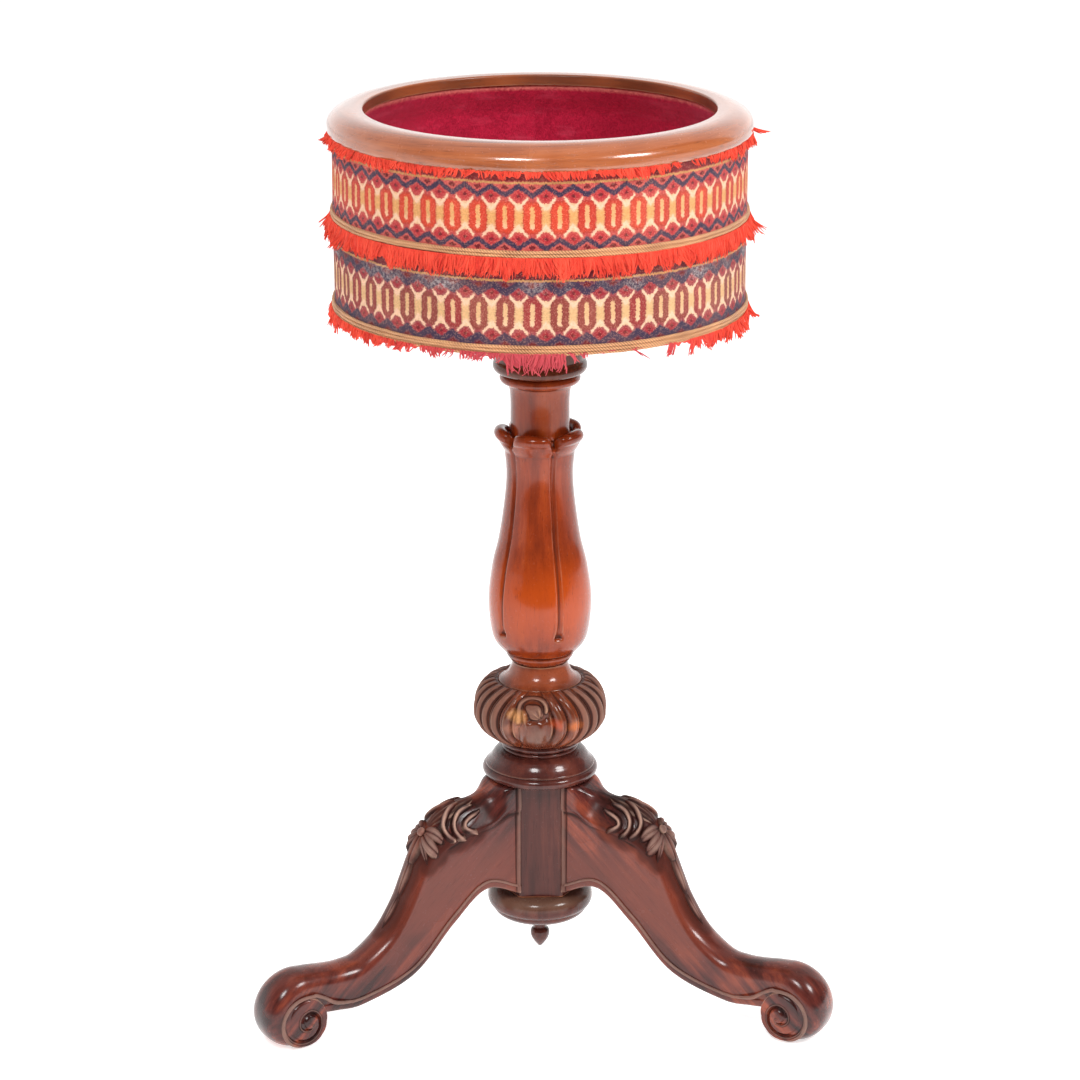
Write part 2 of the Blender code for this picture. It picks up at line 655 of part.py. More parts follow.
def screw_outline(slack):
    """A countersunk wood screw pointing up from the bearer's underside, grown by the slack for its hole."""
    head = SCREW_HEAD - SCREW_SHANK
    sink = GAP
    return [
        (0, sink - slack),
        (SCREW_HEAD + slack, sink - slack),
        (SCREW_SHANK + slack, sink + head),
        (SCREW_SHANK + slack, SCREW_LENGTH - SCREW_SHANK * 2),
        (slack, SCREW_LENGTH + slack),
        (0, SCREW_LENGTH + slack),
    ] if slack else [
        (0, sink),
        (SCREW_HEAD, sink),
        (SCREW_SHANK, sink + head),
        (SCREW_SHANK, SCREW_LENGTH - SCREW_SHANK * 2),
        (0, SCREW_LENGTH),
    ]


def make_bearer(root, wood, floor, iron):
    edge = BEARER_HEIGHT * 0.25
    outline = [
        (SOCKET_RADIUS, BEARER_TOP),
        (BEARER_RADIUS, BEARER_TOP),
        (BEARER_RADIUS, BEARER_BOTTOM + edge),
        (BEARER_RADIUS - edge, BEARER_BOTTOM),
        (SOCKET_RADIUS, BEARER_BOTTOM),
    ]
    bearer = placed("bearer_disc", turned("bearer_disc", outline, TURNING_STEPS), wood, root)
    screw = turned("bearer_screw", screw_outline(0.0), SMALL_STEPS // 2)
    hole = turned("screw_cut", screw_outline(GAP), SMALL_STEPS // 2)
    for i, place in enumerate(screw_places(), start=1):
        placed(f"bearer_screw_{i}", screw, iron, root, location=place)
        for target in (bearer, floor):
            cut = helper(f"screw_cut_{target.name}_{i}", hole, "DIFFERENCE", target)
            cut.location = place


# Drum


def ring_outline(inner, outer, bottom, top):
    return [(inner, top), (outer, top), (outer, bottom), (inner, bottom)]


def make_drum(root, mahogany, pine, felt):
    hoop = ring_outline(HOOP_INSIDE, HOOP_RADIUS, DRUM_BOTTOM, HOOP_TOP)
    placed("drum_hoop", turned("drum_hoop", hoop, DRUM_STEPS), pine, root)
    disc = HOOP_INSIDE - GAP
    board = [(0, FLOOR_TOP), (disc, FLOOR_TOP), (disc, DRUM_BOTTOM), (0, DRUM_BOTTOM)]
    floor = placed("drum_floor", turned("drum_floor", board, DRUM_STEPS), pine, root)
    felt_bottom = FLOOR_TOP + GAP
    felt_top = RIM_BOTTOM - GAP
    wall = ring_outline(disc - FELT, disc, felt_bottom, felt_top)
    placed("lining_wall", turned("lining_wall", wall, DRUM_STEPS), felt, root)
    pad = disc - FELT - GAP
    sheet = [(0, felt_bottom + FELT), (pad, felt_bottom + FELT), (pad, felt_bottom), (0, felt_bottom)]
    placed("lining_floor", turned("lining_floor", sheet, DRUM_STEPS), felt, root)

    width = RIM_OUTER_RADIUS - RIM_INNER_RADIUS
    depth = RIM_TOP - APRON_BOTTOM
    shoulder = RIM_INNER_RADIUS + width * 0.36
    rim = [
        (RIM_INNER_RADIUS, RIM_BOTTOM),
        *arc((RIM_INNER_RADIUS + width * 0.18, RIM_TOP - RIM_LIP * 0.5), width * 0.18, RIM_LIP * 0.5, 180, 100, 3),
        *arc((shoulder, RIM_TOP - depth * 0.70), RIM_OUTER_RADIUS - shoulder, depth * 0.70, 85, -5, 5),
        *arc((RIM_OUTER_RADIUS - width * 0.08, APRON_BOTTOM + depth * 0.12), width * 0.08, depth * 0.12, -30, -90, 2),
        (TRIM_INSIDE, APRON_BOTTOM),
        (TRIM_INSIDE, RIM_BOTTOM),
    ]
    placed("rim_moulding", turned("rim_moulding", rim, DRUM_STEPS), mahogany, root)
    return floor


def make_bands(root, weave, gold):
    split = DRUM_BOTTOM + BAND_SPLIT
    top = RIM_BOTTOM - GAP
    for name, low, high in (("band_lower", DRUM_BOTTOM, split), ("band_upper", split + GAP, top)):
        outline = ring_outline(BAND_INSIDE, BAND_OUTSIDE, low, high)
        placed(name, turned(name, outline, DRUM_STEPS), weave, root)
    braids = (
        ("braid_bottom", DRUM_BOTTOM, BRAID_HEIGHT),
        ("braid_middle", split, BRAID_HEIGHT),
    )
    for name, low, height in braids:
        round_edge = arc((TRIM_INSIDE, low + height / 2), BRAID, height / 2, 90, -90, 4)
        placed(name, turned(name, round_edge, DRUM_STEPS), gold, root)
    return split


def fringe(name, top, length, phase):
    """A cut fringe: a heading that lies on the drum and a skirt of tufts that flares and ends raggedly."""
    sections = []
    count = 2 * FRINGE_TUFTS
    for i in range(count):
        turn = TURN * i / count
        ragged = 1 + 0.16 * math.sin(7 * turn + phase) + 0.10 * math.sin(17 * turn + 2 * phase)
        drop = length * (ragged if i % 2 else 0.62) / 1.26
        outer = TRIM_INSIDE + FRINGE
        section = [(TRIM_INSIDE, top), (outer, top), (outer + FRINGE_FLARE * drop / length, top - drop)]
        sections.append([(r * math.cos(turn), r * math.sin(turn), z) for r, z in section])
    return skinned(name, sections, run_closes=True)


def make_fringes(root, wool, split):
    skirts = (
        ("fringe_top", APRON_BOTTOM - GAP, TOP_FRINGE_LENGTH),
        ("fringe_middle", split - GAP, MIDDLE_FRINGE_LENGTH),
        ("fringe_bottom", DRUM_BOTTOM - GAP, BOTTOM_FRINGE_LENGTH),
    )
    for i, (name, top, length) in enumerate(skirts):
        placed(name, fringe(name, top, length, phase=float(i)), wool, root)


def main():
    clear_scene()
    root = bpy.data.objects.new("stand", None)
    bpy.context.scene.collection.objects.link(root)

    mahogany = finish("polished mahogany", (0.155, 0.036, 0.016), 0.22)
    pine = finish("pine", (0.50, 0.33, 0.17), 0.70)
    felt = finish("crimson felt", (0.30, 0.006, 0.040), 0.95)
    weave = finish("woven band", (0.52, 0.10, 0.06), 0.90)
    wool = finish("red wool", (0.74, 0.065, 0.035), 0.90)
    gold = finish("gold braid", (0.50, 0.27, 0.10), 0.75)
    iron = finish("iron", (0.12, 0.11, 0.10), 0.50, 0.9)

    make_block(root, mahogany)
    make_boss(root, mahogany)
    make_pendant(root, mahogany)
    make_legs(root, mahogany)
    make_base_ring(root, mahogany)
    make_knop(root, mahogany)
    make_pillar(root, mahogany)
    make_collar(root, mahogany)
    floor = make_drum(root, mahogany, pine, felt)
    make_bearer(root, pine, floor, iron)
    split = make_bands(root, weave, gold)
    make_fringes(root, wool, split)


main()
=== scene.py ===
"""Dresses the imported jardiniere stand: polished mahogany, woven bands, wool fringe and a felt-lined drum."""

from __future__ import annotations

import json
import logging
import math
from dataclasses import dataclass, field
from enum import Enum
from typing import Callable, Mapping, Sequence, Union

import bmesh
import bpy
import numpy as np
from mathutils import kdtree, Matrix, Vector

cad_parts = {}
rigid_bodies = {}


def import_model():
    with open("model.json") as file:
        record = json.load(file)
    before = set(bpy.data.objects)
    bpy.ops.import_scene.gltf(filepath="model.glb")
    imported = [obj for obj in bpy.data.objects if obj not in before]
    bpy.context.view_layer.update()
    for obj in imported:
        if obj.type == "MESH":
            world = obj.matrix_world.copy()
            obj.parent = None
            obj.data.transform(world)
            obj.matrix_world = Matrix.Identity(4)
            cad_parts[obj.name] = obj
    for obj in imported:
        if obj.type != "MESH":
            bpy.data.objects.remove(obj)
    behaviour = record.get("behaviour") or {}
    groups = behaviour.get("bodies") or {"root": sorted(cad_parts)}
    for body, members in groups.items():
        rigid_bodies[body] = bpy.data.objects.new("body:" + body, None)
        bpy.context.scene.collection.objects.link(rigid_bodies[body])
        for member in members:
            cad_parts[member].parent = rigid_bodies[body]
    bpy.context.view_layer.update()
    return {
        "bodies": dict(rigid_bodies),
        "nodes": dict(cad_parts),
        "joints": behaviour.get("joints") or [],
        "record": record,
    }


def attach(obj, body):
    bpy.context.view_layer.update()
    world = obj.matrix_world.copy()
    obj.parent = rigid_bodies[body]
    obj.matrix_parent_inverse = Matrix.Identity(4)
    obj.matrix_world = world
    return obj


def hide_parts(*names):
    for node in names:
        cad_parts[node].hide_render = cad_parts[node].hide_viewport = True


log = logging.getLogger("stand")

TAU = 2 * math.pi
MM = 0.001
BODY = "root"
FRONT = math.radians(-90)
WELD = 1e-6
DRUM_RADIUS = 0.165
FIBRE_SQUEEZE = 0.07

Rgb = tuple[float, float, float]
Point = Sequence[float]


def linear(colour: Rgb) -> tuple[float, float, float, float]:
    """A display colour, 0 to 255 a channel, as the linear colour that shaders take."""
    shares = [c / 255 for c in colour]
    return (*[c / 12.92 if c <= 0.04045 else ((c + 0.055) / 1.055) ** 2.4 for c in shares], 1.0)


def ease(share: np.ndarray | float) -> np.ndarray:
    """Smooth step of a share, flat below 0 and above 1."""
    x = np.clip(share, 0.0, 1.0)
    return x * x * (3 - 2 * x)


def arc(centre: Point, radius_in: float, radius_up: float, start: float, end: float, count: int) -> np.ndarray:
    """Points on an elliptical arc in (radius, height).

    Args:
        centre: Middle of the arc, as (radius, height).
        radius_in: Half axis across.
        radius_up: Half axis upwards.
        start: First angle in degrees.
        end: Last angle in degrees.
        count: How many points.

    Returns:
        The points, one row each.
    """
    turn = np.radians(np.linspace(start, end, count))
    return np.stack([centre[0] + radius_in * np.cos(turn), centre[1] + radius_up * np.sin(turn)], axis=1)


def through(points: Sequence[Point], count: int) -> np.ndarray:
    """Evenly spaced points on a smooth curve through the given ones.

    Args:
        points: The knots, in any number of dimensions.
        count: How many points to give.

    Returns:
        The points, one row each, with both end knots kept.
    """
    knots = np.asarray(points, float)
    knots = np.vstack([2 * knots[0] - knots[1], knots, 2 * knots[-1] - knots[-2]])
    t = np.linspace(0, 1, 24, endpoint=False)[:, None]
    parts = []
    for a, b, c, d in zip(knots, knots[1:], knots[2:], knots[3:]):
        bend = (2 * a - 5 * b + 4 * c - d) * t**2 + (3 * b - a - 3 * c + d) * t**3
        parts.append(0.5 * (2 * b + (c - a) * t + bend))
    return resampled(np.vstack([*parts, knots[-2]]), count)


def run_along(line: np.ndarray) -> np.ndarray:
    """The length of a line up to each of its points."""
    return np.concatenate([[0.0], np.cumsum(np.linalg.norm(np.diff(line, axis=0), axis=1))])


def resampled(line: np.ndarray, count: int) -> np.ndarray:
    """The same line with evenly spaced points.

    Args:
        line: Its points, one row each.
        count: How many points to give.

    Returns:
        The new points.
    """
    run = run_along(line)
    want = np.linspace(0, run[-1], count)
    return np.stack([np.interp(want, run, line[:, k]) for k in range(line.shape[1])], axis=1)


def spaced(line: np.ndarray, gap: float) -> np.ndarray:
    """The same line with points added where they are far apart.

    Args:
        line: Its points, one row each.
        gap: The longest step that is left.

    Returns:
        The points, the old ones among them.
    """
    parts = [line[:1]]
    for start, end in zip(line, line[1:]):
        count = max(1, math.ceil(np.linalg.norm(end - start) / gap))
        parts.append(start + (end - start) * np.linspace(0, 1, count + 1)[1:, None])
    return np.vstack(parts)


def polar(places: np.ndarray) -> tuple[np.ndarray, np.ndarray, np.ndarray]:
    """Distance from the stand's axis, angle round it and height of points."""
    return np.hypot(places[:, 0], places[:, 1]), np.arctan2(places[:, 1], places[:, 0]), places[:, 2].copy()


def round_axis(radius: np.ndarray, turn: np.ndarray, up: np.ndarray) -> np.ndarray:
    """Points from their distance from the stand's axis, angle round it and height."""
    return np.stack([radius * np.cos(turn), radius * np.sin(turn), up], 1)


class Value:
    """A number that varies over a surface. Python's operators on it add Math nodes."""

    def __init__(self, nodes: Nodes, socket: bpy.types.NodeSocket) -> None:
        """Wraps a socket of a material's node tree."""
        self.nodes = nodes
        self.socket = socket

    def math(self, operation: str, *others: Number) -> Value:
        """This value and others through one Math node."""
        return self.nodes.math(operation, self, *others)

    def __add__(self, other: Number) -> Value:
        """Sum."""
        return self.math("ADD", other)

    __radd__ = __add__

    def __sub__(self, other: Number) -> Value:
        """Difference."""
        return self.math("SUBTRACT", other)

    def __rsub__(self, other: Number) -> Value:
        """Difference from a plain number."""
        return self.nodes.math("SUBTRACT", other, self)

    def __mul__(self, other: Number) -> Value:
        """Product."""
        return self.math("MULTIPLY", other)

    __rmul__ = __mul__

    def __truediv__(self, other: Number) -> Value:
        """Quotient."""
        return self.math("DIVIDE", other)

    def __pow__(self, other: Number) -> Value:
        """Power."""
        return self.math("POWER", other)

    def __abs__(self) -> Value:
        """Size without the sign."""
        return self.math("ABSOLUTE")

    def most(self, other: Number) -> Value:
        """The larger of two."""
        return self.math("MAXIMUM", other)

    def least(self, other: Number) -> Value:
        """The smaller of two."""
        return self.math("MINIMUM", other)

    def fraction(self) -> Value:
        """What is left past the whole number below."""
        return self.math("FRACT")

    def sine(self) -> Value:
        """Sine of an angle in radians."""
        return self.math("SINE")

    def stepped(self, step: float) -> Value:
        """The middle of the thread, this wide, that the value falls on."""
        return self.math("SNAP", step) + step / 2

    def rise(self, low: float, high: float) -> Value:
        """A smooth step.

        Args:
            low: Where it is 0.
            high: Where it is 1; this may be the lower number.

        Returns:
            The step, flat beyond both ends.
        """
        settings = {"interpolation_type": "SMOOTHSTEP"}
        backwards = high < low
        ends = (high, low) if backwards else (low, high)
        inputs = {"Value": self, "From Min": ends[0], "From Max": ends[1]}
        inputs |= {"To Min": 1.0, "To Max": 0.0} if backwards else {"To Min": 0.0, "To Max": 1.0}
        return Value(self.nodes, self.nodes.node("ShaderNodeMapRange", settings, inputs).outputs[0])

    def inside(self, soft: float) -> Value:
        """1 where a distance from an edge is negative, 0 outside, with a soft change between."""
        return self.rise(soft, -soft)


Number = Union[Value, float]


class Tint:
    """A colour that varies over a surface."""

    def __init__(self, nodes: Nodes, socket: bpy.types.NodeSocket) -> None:
        """Wraps a colour socket of a material's node tree."""
        self.nodes = nodes
        self.socket = socket

    def towards(self, colour: Tint | Rgb, share: Number) -> Tint:
        """This colour mixed towards another."""
        return self.nodes.mixed(self, colour, share)

    def shaded(self, share: Number) -> Tint:
        """This colour darkened.

        Args:
            share: The grey that it is multiplied by.

        Returns:
            The darker colour.
        """
        grey = self.nodes.node("ShaderNodeCombineColor", {}, {0: share, 1: share, 2: share}).outputs[0]
        settings = {"data_type": "RGBA", "blend_type": "MULTIPLY"}
        made = self.nodes.node("ShaderNodeMix", settings, {0: 1.0, 6: self, 7: Tint(self.nodes, grey)})
        return Tint(self.nodes, made.outputs[2])


class Nodes:
    """The node tree of one material or world, with the few ways of adding to it."""

    def __init__(self, name: str, holder: bpy.types.World | None = None) -> None:
        """Starts an empty tree.

        Args:
            name: The new material's name.
            holder: A world whose nodes are emptied instead.
        """
        self.material = holder or bpy.data.materials.new(name)
        self.material.use_nodes = True
        self.tree = self.material.node_tree
        self.tree.nodes.clear()

    def node(self, kind: str, settings: Mapping[str, object], inputs: Mapping[int | str, object]) -> bpy.types.Node:
        """Adds one node.

        Args:
            kind: Blender's name of the node's type.
            settings: Its properties, set first. "stops" holds a ramp's places and colours.
            inputs: Values or links by the socket's name or number.

        Returns:
            The new node.
        """
        made = self.tree.nodes.new(kind)
        for name, value in settings.items():
            if name != "stops":
                setattr(made, name, value)
                continue
            ramp = made.color_ramp.elements
            while len(ramp) < len(value):
                ramp.new(0.5)
            for stop, (place, colour) in zip(ramp, value):
                stop.position, stop.color = place, linear(colour)
        for name, value in inputs.items():
            if isinstance(value, (Value, Tint)):
                self.tree.links.new(value.socket, made.inputs[name])
            elif isinstance(value, bpy.types.NodeSocket):
                self.tree.links.new(value, made.inputs[name])
            else:
                made.inputs[name].default_value = value
        return made

    def math(self, operation: str, *terms: Number) -> Value:
        """One Math node on up to three numbers."""
        return Value(self, self.node("ShaderNodeMath", {"operation": operation}, dict(enumerate(terms))).outputs[0])

    def mixed(self, first: Tint | Rgb, second: Tint | Rgb, share: Number) -> Tint:
        """A colour between two others.

        Args:
            first: The colour at a share of 0.
            second: The colour at a share of 1.
            share: How far from the first to the second.

        Returns:
            The mixed colour.
        """
        ends = [c if isinstance(c, Tint) else linear(c) for c in (first, second)]
        inputs = {0: share, 6: ends[0], 7: ends[1]}
        return Tint(self, self.node("ShaderNodeMix", {"data_type": "RGBA"}, inputs).outputs[2])

    def ramp(self, share: Number, stops: Sequence[tuple[float, Rgb]]) -> Tint:
        """A colour read from a ramp of stops."""
        return Tint(self, self.node("ShaderNodeValToRGB", {"stops": stops}, {0: share}).outputs[0])

    def place(self) -> bpy.types.NodeSocket:
        """Object coordinates."""
        return self.node("ShaderNodeTexCoord", {}, {}).outputs["Object"]

    def axes(self, vector: bpy.types.NodeSocket) -> tuple[Value, Value, Value]:
        """The three numbers of a vector."""
        made = self.node("ShaderNodeSeparateXYZ", {}, {0: vector})
        return tuple(Value(self, socket) for socket in made.outputs)

    def vector(self, x: Number, y: Number, z: Number) -> bpy.types.NodeSocket:
        """A vector of three numbers."""
        return self.node("ShaderNodeCombineXYZ", {}, {0: x, 1: y, 2: z}).outputs[0]

    def scaled(self, vector: bpy.types.NodeSocket, by: Point) -> bpy.types.NodeSocket:
        """A vector multiplied axis by axis."""
        made = self.node("ShaderNodeVectorMath", {"operation": "MULTIPLY"}, {0: vector, 1: tuple(by)})
        return made.outputs[0]

    def stored(self, name: str) -> bpy.types.Node:
        """The node of a mesh's own attribute."""
        return self.node("ShaderNodeAttribute", {"attribute_name": name}, {})

    def noise(self, vector: bpy.types.NodeSocket, scale: float, detail: float = 3.0, rough: float = 0.5,
              bend: float = 0.0) -> Value:
        """Soft noise, about 0.5 on average.

        Args:
            vector: Where it is read.
            scale: How many features fit in a metre.
            detail: Octaves of finer noise.
            rough: Strength of the finer noise.
            bend: How much the pattern is distorted.

        Returns:
            The noise.
        """
        inputs = {"Vector": vector, "Scale": scale, "Detail": detail, "Roughness": rough, "Distortion": bend}
        return Value(self, self.node("ShaderNodeTexNoise", {}, inputs).outputs[0])

    def speckle(self, vector: bpy.types.NodeSocket) -> Value:
        """A number of its own for each place, with no smoothness."""
        return Value(self, self.node("ShaderNodeTexWhiteNoise", {}, {"Vector": vector}).outputs[0])

    def bump(self, height: Value, distance: float, strength: float = 1.0) -> bpy.types.NodeSocket:
        """A normal that shows a height, this many metres tall at 1."""
        inputs = {"Height": height, "Distance": distance, "Strength": strength}
        return self.node("ShaderNodeBump", {}, inputs).outputs[0]

    def surface(self, inputs: Mapping[int | str, object]) -> bpy.types.Material:
        """Closes the tree with a Principled shader.

        Args:
            inputs: Its sockets' values and links.

        Returns:
            The finished material.
        """
        shader = self.node("ShaderNodeBsdfPrincipled", {}, inputs)
        self.node("ShaderNodeOutputMaterial", {}, {0: shader.outputs[0]})
        return self.material


class Grain(Enum):
    """Which way the wood's fibres run in a piece."""

    UPRIGHT = "upright"
    AROUND = "around"
    ALONG = "along"
    LEVEL = "level"


class Slot(Enum):
    """The record's material slots."""

    MAHOGANY = "mahogany"
    PINE = "pine"
    FELT = "felt"
    WEAVE = "weave"
    GOLD = "gold"
    WOOL = "wool"
    IRON = "iron"


@dataclass(frozen=True)
class Finish:
    """What every finish has."""

    name: str
    slot: Slot

    def material(self) -> bpy.types.Material:
        """Makes the material."""
        raise NotImplementedError

    @staticmethod
    def turn_of(nodes: Nodes) -> tuple[Value, Value, Value]:
        """The angle round the stand from its front, the distance from its axis and the height."""
        x, y, z = nodes.axes(nodes.place())
        return nodes.math("ARCTAN2", x, y * -1), (x * x + y * y).math("SQRT"), z


@dataclass(frozen=True)
class PolishedWood(Finish):
    """French-polished hardwood with fibres, pores, a broad figure, worn ridges, and hollows that are dulled and painted
    in shade.
    """

    grain: Grain
    dark: Rgb = (46, 20, 17)
    middle: Rgb = (80, 37, 31)
    light: Rgb = (114, 58, 44)
    worn: Rgb = (186, 142, 112)
    # The dark colour of the painted shade in hollows.
    hollow_shade: Rgb = (26, 14, 12)
    aged: Rgb = (98, 68, 60)
    wear: float = 0.5
    hollow_dust_shade: float = 0.7
    coat: float = 0.6
    rough: float = 0.26
    shine: float = 0.15
    gloss: float = 0.13
    contrast: float = 1.0
    glow: tuple[float, float, float, Rgb] | None = None
    patches_and_glints: tuple[tuple[float, float, float, Rgb], ...] = ()

    def fibres(self, nodes: Nodes) -> bpy.types.NodeSocket:
        """Coordinates in metres with the first axis along the fibres.

        Args:
            nodes: The material's tree.

        Returns:
            The coordinates, squeezed along the fibres.
        """
        if self.grain is Grain.ALONG:
            return nodes.scaled(nodes.stored("grain").outputs["Vector"], (FIBRE_SQUEEZE, 1.0, 1.0))
        if self.grain is Grain.AROUND:
            turn, out, up = self.turn_of(nodes)
            swing = DRUM_RADIUS * FIBRE_SQUEEZE
            return nodes.vector((turn + math.pi / 2).sine() * swing, out + turn.sine() * swing, up)
        x, y, z = nodes.axes(nodes.place())
        if self.grain is Grain.UPRIGHT:
            return nodes.vector(z * FIBRE_SQUEEZE, x, y)
        return nodes.vector(x * FIBRE_SQUEEZE, y, z)

    def material(self) -> bpy.types.Material:
        """Makes the material."""
        nodes = Nodes(self.name)
        fibres = self.fibres(nodes)
        figure = nodes.noise(fibres, 38.0, 4.0, 0.55, 0.6)
        streak = nodes.noise(fibres, 190.0, 5.0, 0.6, 0.2)
        pores = nodes.noise(nodes.scaled(fibres, (0.6, 1.0, 1.0)), 1500.0, 2.0, 0.5).rise(0.60, 0.72)
        place = nodes.place()
        cloud = nodes.noise(place, 24.0, 3.0)
        tone = (figure * 0.55 + streak * 0.35 + cloud * 0.3 - 0.6) * self.contrast + 0.5
        colour = nodes.ramp(tone, [(0.30, self.dark), (0.50, self.middle), (0.72, self.light)])
        x, y, up = nodes.axes(place)
        # A band by height: warmer tone on the legs and the knop's bell, a painted glow on the pillar's belly, and worn
        # grey with a painted reflection on the bun's top.
        if self.glow:
            low, high, fade, tint = self.glow
            level = up + (cloud + figure - 1.0) * fade * 1.6
            share = level.rise(low - fade, low + fade) * level.rise(high + fade, high - fade)
            colour = colour.towards(tint, share * (0.5 + figure * 0.6))
        colour = colour.shaded(1.0 - pores * 0.4)
        ridge = Value(nodes, nodes.stored("wear").outputs["Fac"])
        carved = Value(nodes, nodes.stored("carved").outputs["Fac"])
        patchy = nodes.noise(place, 90.0, 3.0)
        fine = nodes.noise(place, 420.0, 3.0)
        rubbed = ridge.rise(0.14, 0.8) * patchy.rise(0.22, 0.62) * self.wear
        # Concave points are dulled, and darkened as painted shade.
        dust_and_shade = ridge.rise(-0.12, -0.7) * self.hollow_dust_shade
        # Painted shade where the carved share is low: round and between the carving, in grooves and on the rim's inner
        # face.
        sunk = carved.rise(0.02, 0.16) * carved.rise(0.62, 0.34)
        proud = carved.rise(0.55, 0.95)
        colour = colour.towards(self.aged, carved.rise(0.25, 0.7) * (0.5 + patchy * 0.5))
        colour = colour.towards(self.hollow_shade, dust_and_shade.most(sunk * 0.75))
        colour = colour.towards(self.worn, rubbed.most(proud * (0.25 + patchy * 0.9) * self.wear).least(1.0))
        ragged = (fine - 0.5) * 0.005 + (patchy - 0.5) * 0.012
        # Patches on the front: scars and tone, and on the knop two painted orange glints.
        for from_x, from_z, size, tint in self.patches_and_glints:
            away = ((x - from_x) ** 2.0 * 0.7 + (up - from_z) ** 2.0 * 1.4).math("SQRT") + ragged
            share = away.rise(size, size * 0.15) * y.rise(0.0, -0.02) * (0.5 + fine * 0.7)
            colour = colour.towards(tint, share.least(1.0) * (0.75 + ridge * 0.25))
        scuffs = fine.rise(0.62, 0.75)
        rough = (cloud - 0.5) * 0.12 + self.rough + rubbed * 0.18 + dust_and_shade * 0.25
        rough = rough + scuffs * 0.05 + carved.rise(0.0, 0.2) * 0.22
        height = streak * 0.3 - pores * 0.7 + patchy * 0.9
        return nodes.surface({
            "Base Color": colour,
            "Roughness": rough.most(0.1).least(0.9),
            "Coat Weight": (self.coat - (dust_and_shade * 0.9 + carved.rise(0.0, 0.1) * 0.95) * self.coat).most(0.0),
            "Specular IOR Level": self.shine,
            "Coat Roughness": self.gloss,
            "Coat IOR": 1.5,
            "Normal": nodes.bump(height, 0.00022, 0.5),
        })


@dataclass(frozen=True)
class RawWood(Finish):
    """Unpolished softwood, for what the drum hides."""

    grain: Grain
    early: Rgb = (176, 128, 82)
    late: Rgb = (122, 78, 44)

    def material(self) -> bpy.types.Material:
        """Makes the material."""
        nodes = Nodes(self.name)
        turn, out, up = self.turn_of(nodes)
        x, y, z = nodes.axes(nodes.place())
        if self.grain is Grain.AROUND:
            line = nodes.vector(turn * 0.012, out, up)
        else:
            line = nodes.vector(x * 0.08, y, z)
        rings = nodes.noise(line, 150.0, 4.0, 0.6, 0.5)
        fine = nodes.noise(line, 900.0, 2.0)
        stain = nodes.noise(nodes.place(), 30.0, 3.0)
        colour = nodes.mixed(self.early, self.late, rings.rise(0.35, 0.7)).shaded(fine * 0.3 + stain * 0.5 + 0.45)
        height = rings * 0.5 + fine * 0.5
        return nodes.surface({
            "Base Color": colour,
            "Roughness": rings * 0.15 + 0.62,
            "Normal": nodes.bump(height, 0.0004, 0.6),
        })


@dataclass(frozen=True)
class RustedIron(Finish):
    """Old screws, dark with brown bloom."""

    steel: Rgb = (66, 62, 58)
    bloom: Rgb = (92, 54, 34)

    def material(self) -> bpy.types.Material:
        """Makes the material."""
        nodes = Nodes(self.name)
        patch = nodes.noise(nodes.place(), 900.0, 4.0, 0.6).rise(0.4, 0.65)
        fine = nodes.noise(nodes.place(), 3000.0, 2.0)
        return nodes.surface({
            "Base Color": nodes.mixed(self.steel, self.bloom, patch),
            "Metallic": 1.0 - patch * 0.8,
            "Roughness": patch * 0.3 + fine * 0.2 + 0.35,
            "Normal": nodes.bump(fine, 0.0002, 0.5),
        })


@dataclass(frozen=True)
class CrimsonFelt(Finish):
    """Pressed wool felt with matted fibres and faded, brushed patches."""

    deep: Rgb = (142, 12, 42)
    bright: Rgb = (206, 38, 72)
    faded: Rgb = (206, 70, 96)
    # Pale colour of the felt's fraying top edge, painted bright as a lit line.
    frayed_lit_edge: Rgb = (240, 150, 132)
    worn: Rgb = (112, 26, 36)

    def material(self) -> bpy.types.Material:
        """Makes the material."""
        nodes = Nodes(self.name)
        turn, out, up = self.turn_of(nodes)
        wound = nodes.vector(turn * 0.15, out, up)
        mat = nodes.noise(wound, 260.0, 5.0, 0.65, 1.2)
        hair = nodes.noise(nodes.scaled(wound, (1.0, 1.0, 0.35)), 1700.0, 3.0, 0.6, 0.8)
        cloud = nodes.noise(wound, 22.0, 3.0)
        nap = nodes.noise(nodes.scaled(wound, (0.25, 1.0, 1.0)), 110.0, 3.0)
        colour = nodes.mixed(self.deep, self.bright, (mat * 0.6 + hair * 0.4 + cloud * 0.3).rise(0.42, 0.88))
        colour = colour.towards(self.faded, nap.rise(0.52, 0.75) * 0.45)
        colour = colour.towards(self.worn, cloud.rise(0.50, 0.72) * mat.rise(0.35, 0.65) * 0.5)
        # The felt's fraying top edge, painted pale enough to read as a lit line in the shade under the rim.
        colour = colour.towards(self.frayed_lit_edge, (up + (mat - 0.5) * 0.004).rise(0.7365, 0.7405) * (0.1 + mat * 0.9))
        return nodes.surface({
            "Base Color": colour,
            "Roughness": hair * 0.1 + 0.88,
            "Sheen Weight": 0.5,
            "Sheen Roughness": 0.45,
            "Sheen Tint": linear((255, 120, 150)),
            "Specular IOR Level": 0.15,
            "Normal": nodes.bump(mat * 0.6 + hair * 0.4, 0.0012, 0.9),
        })


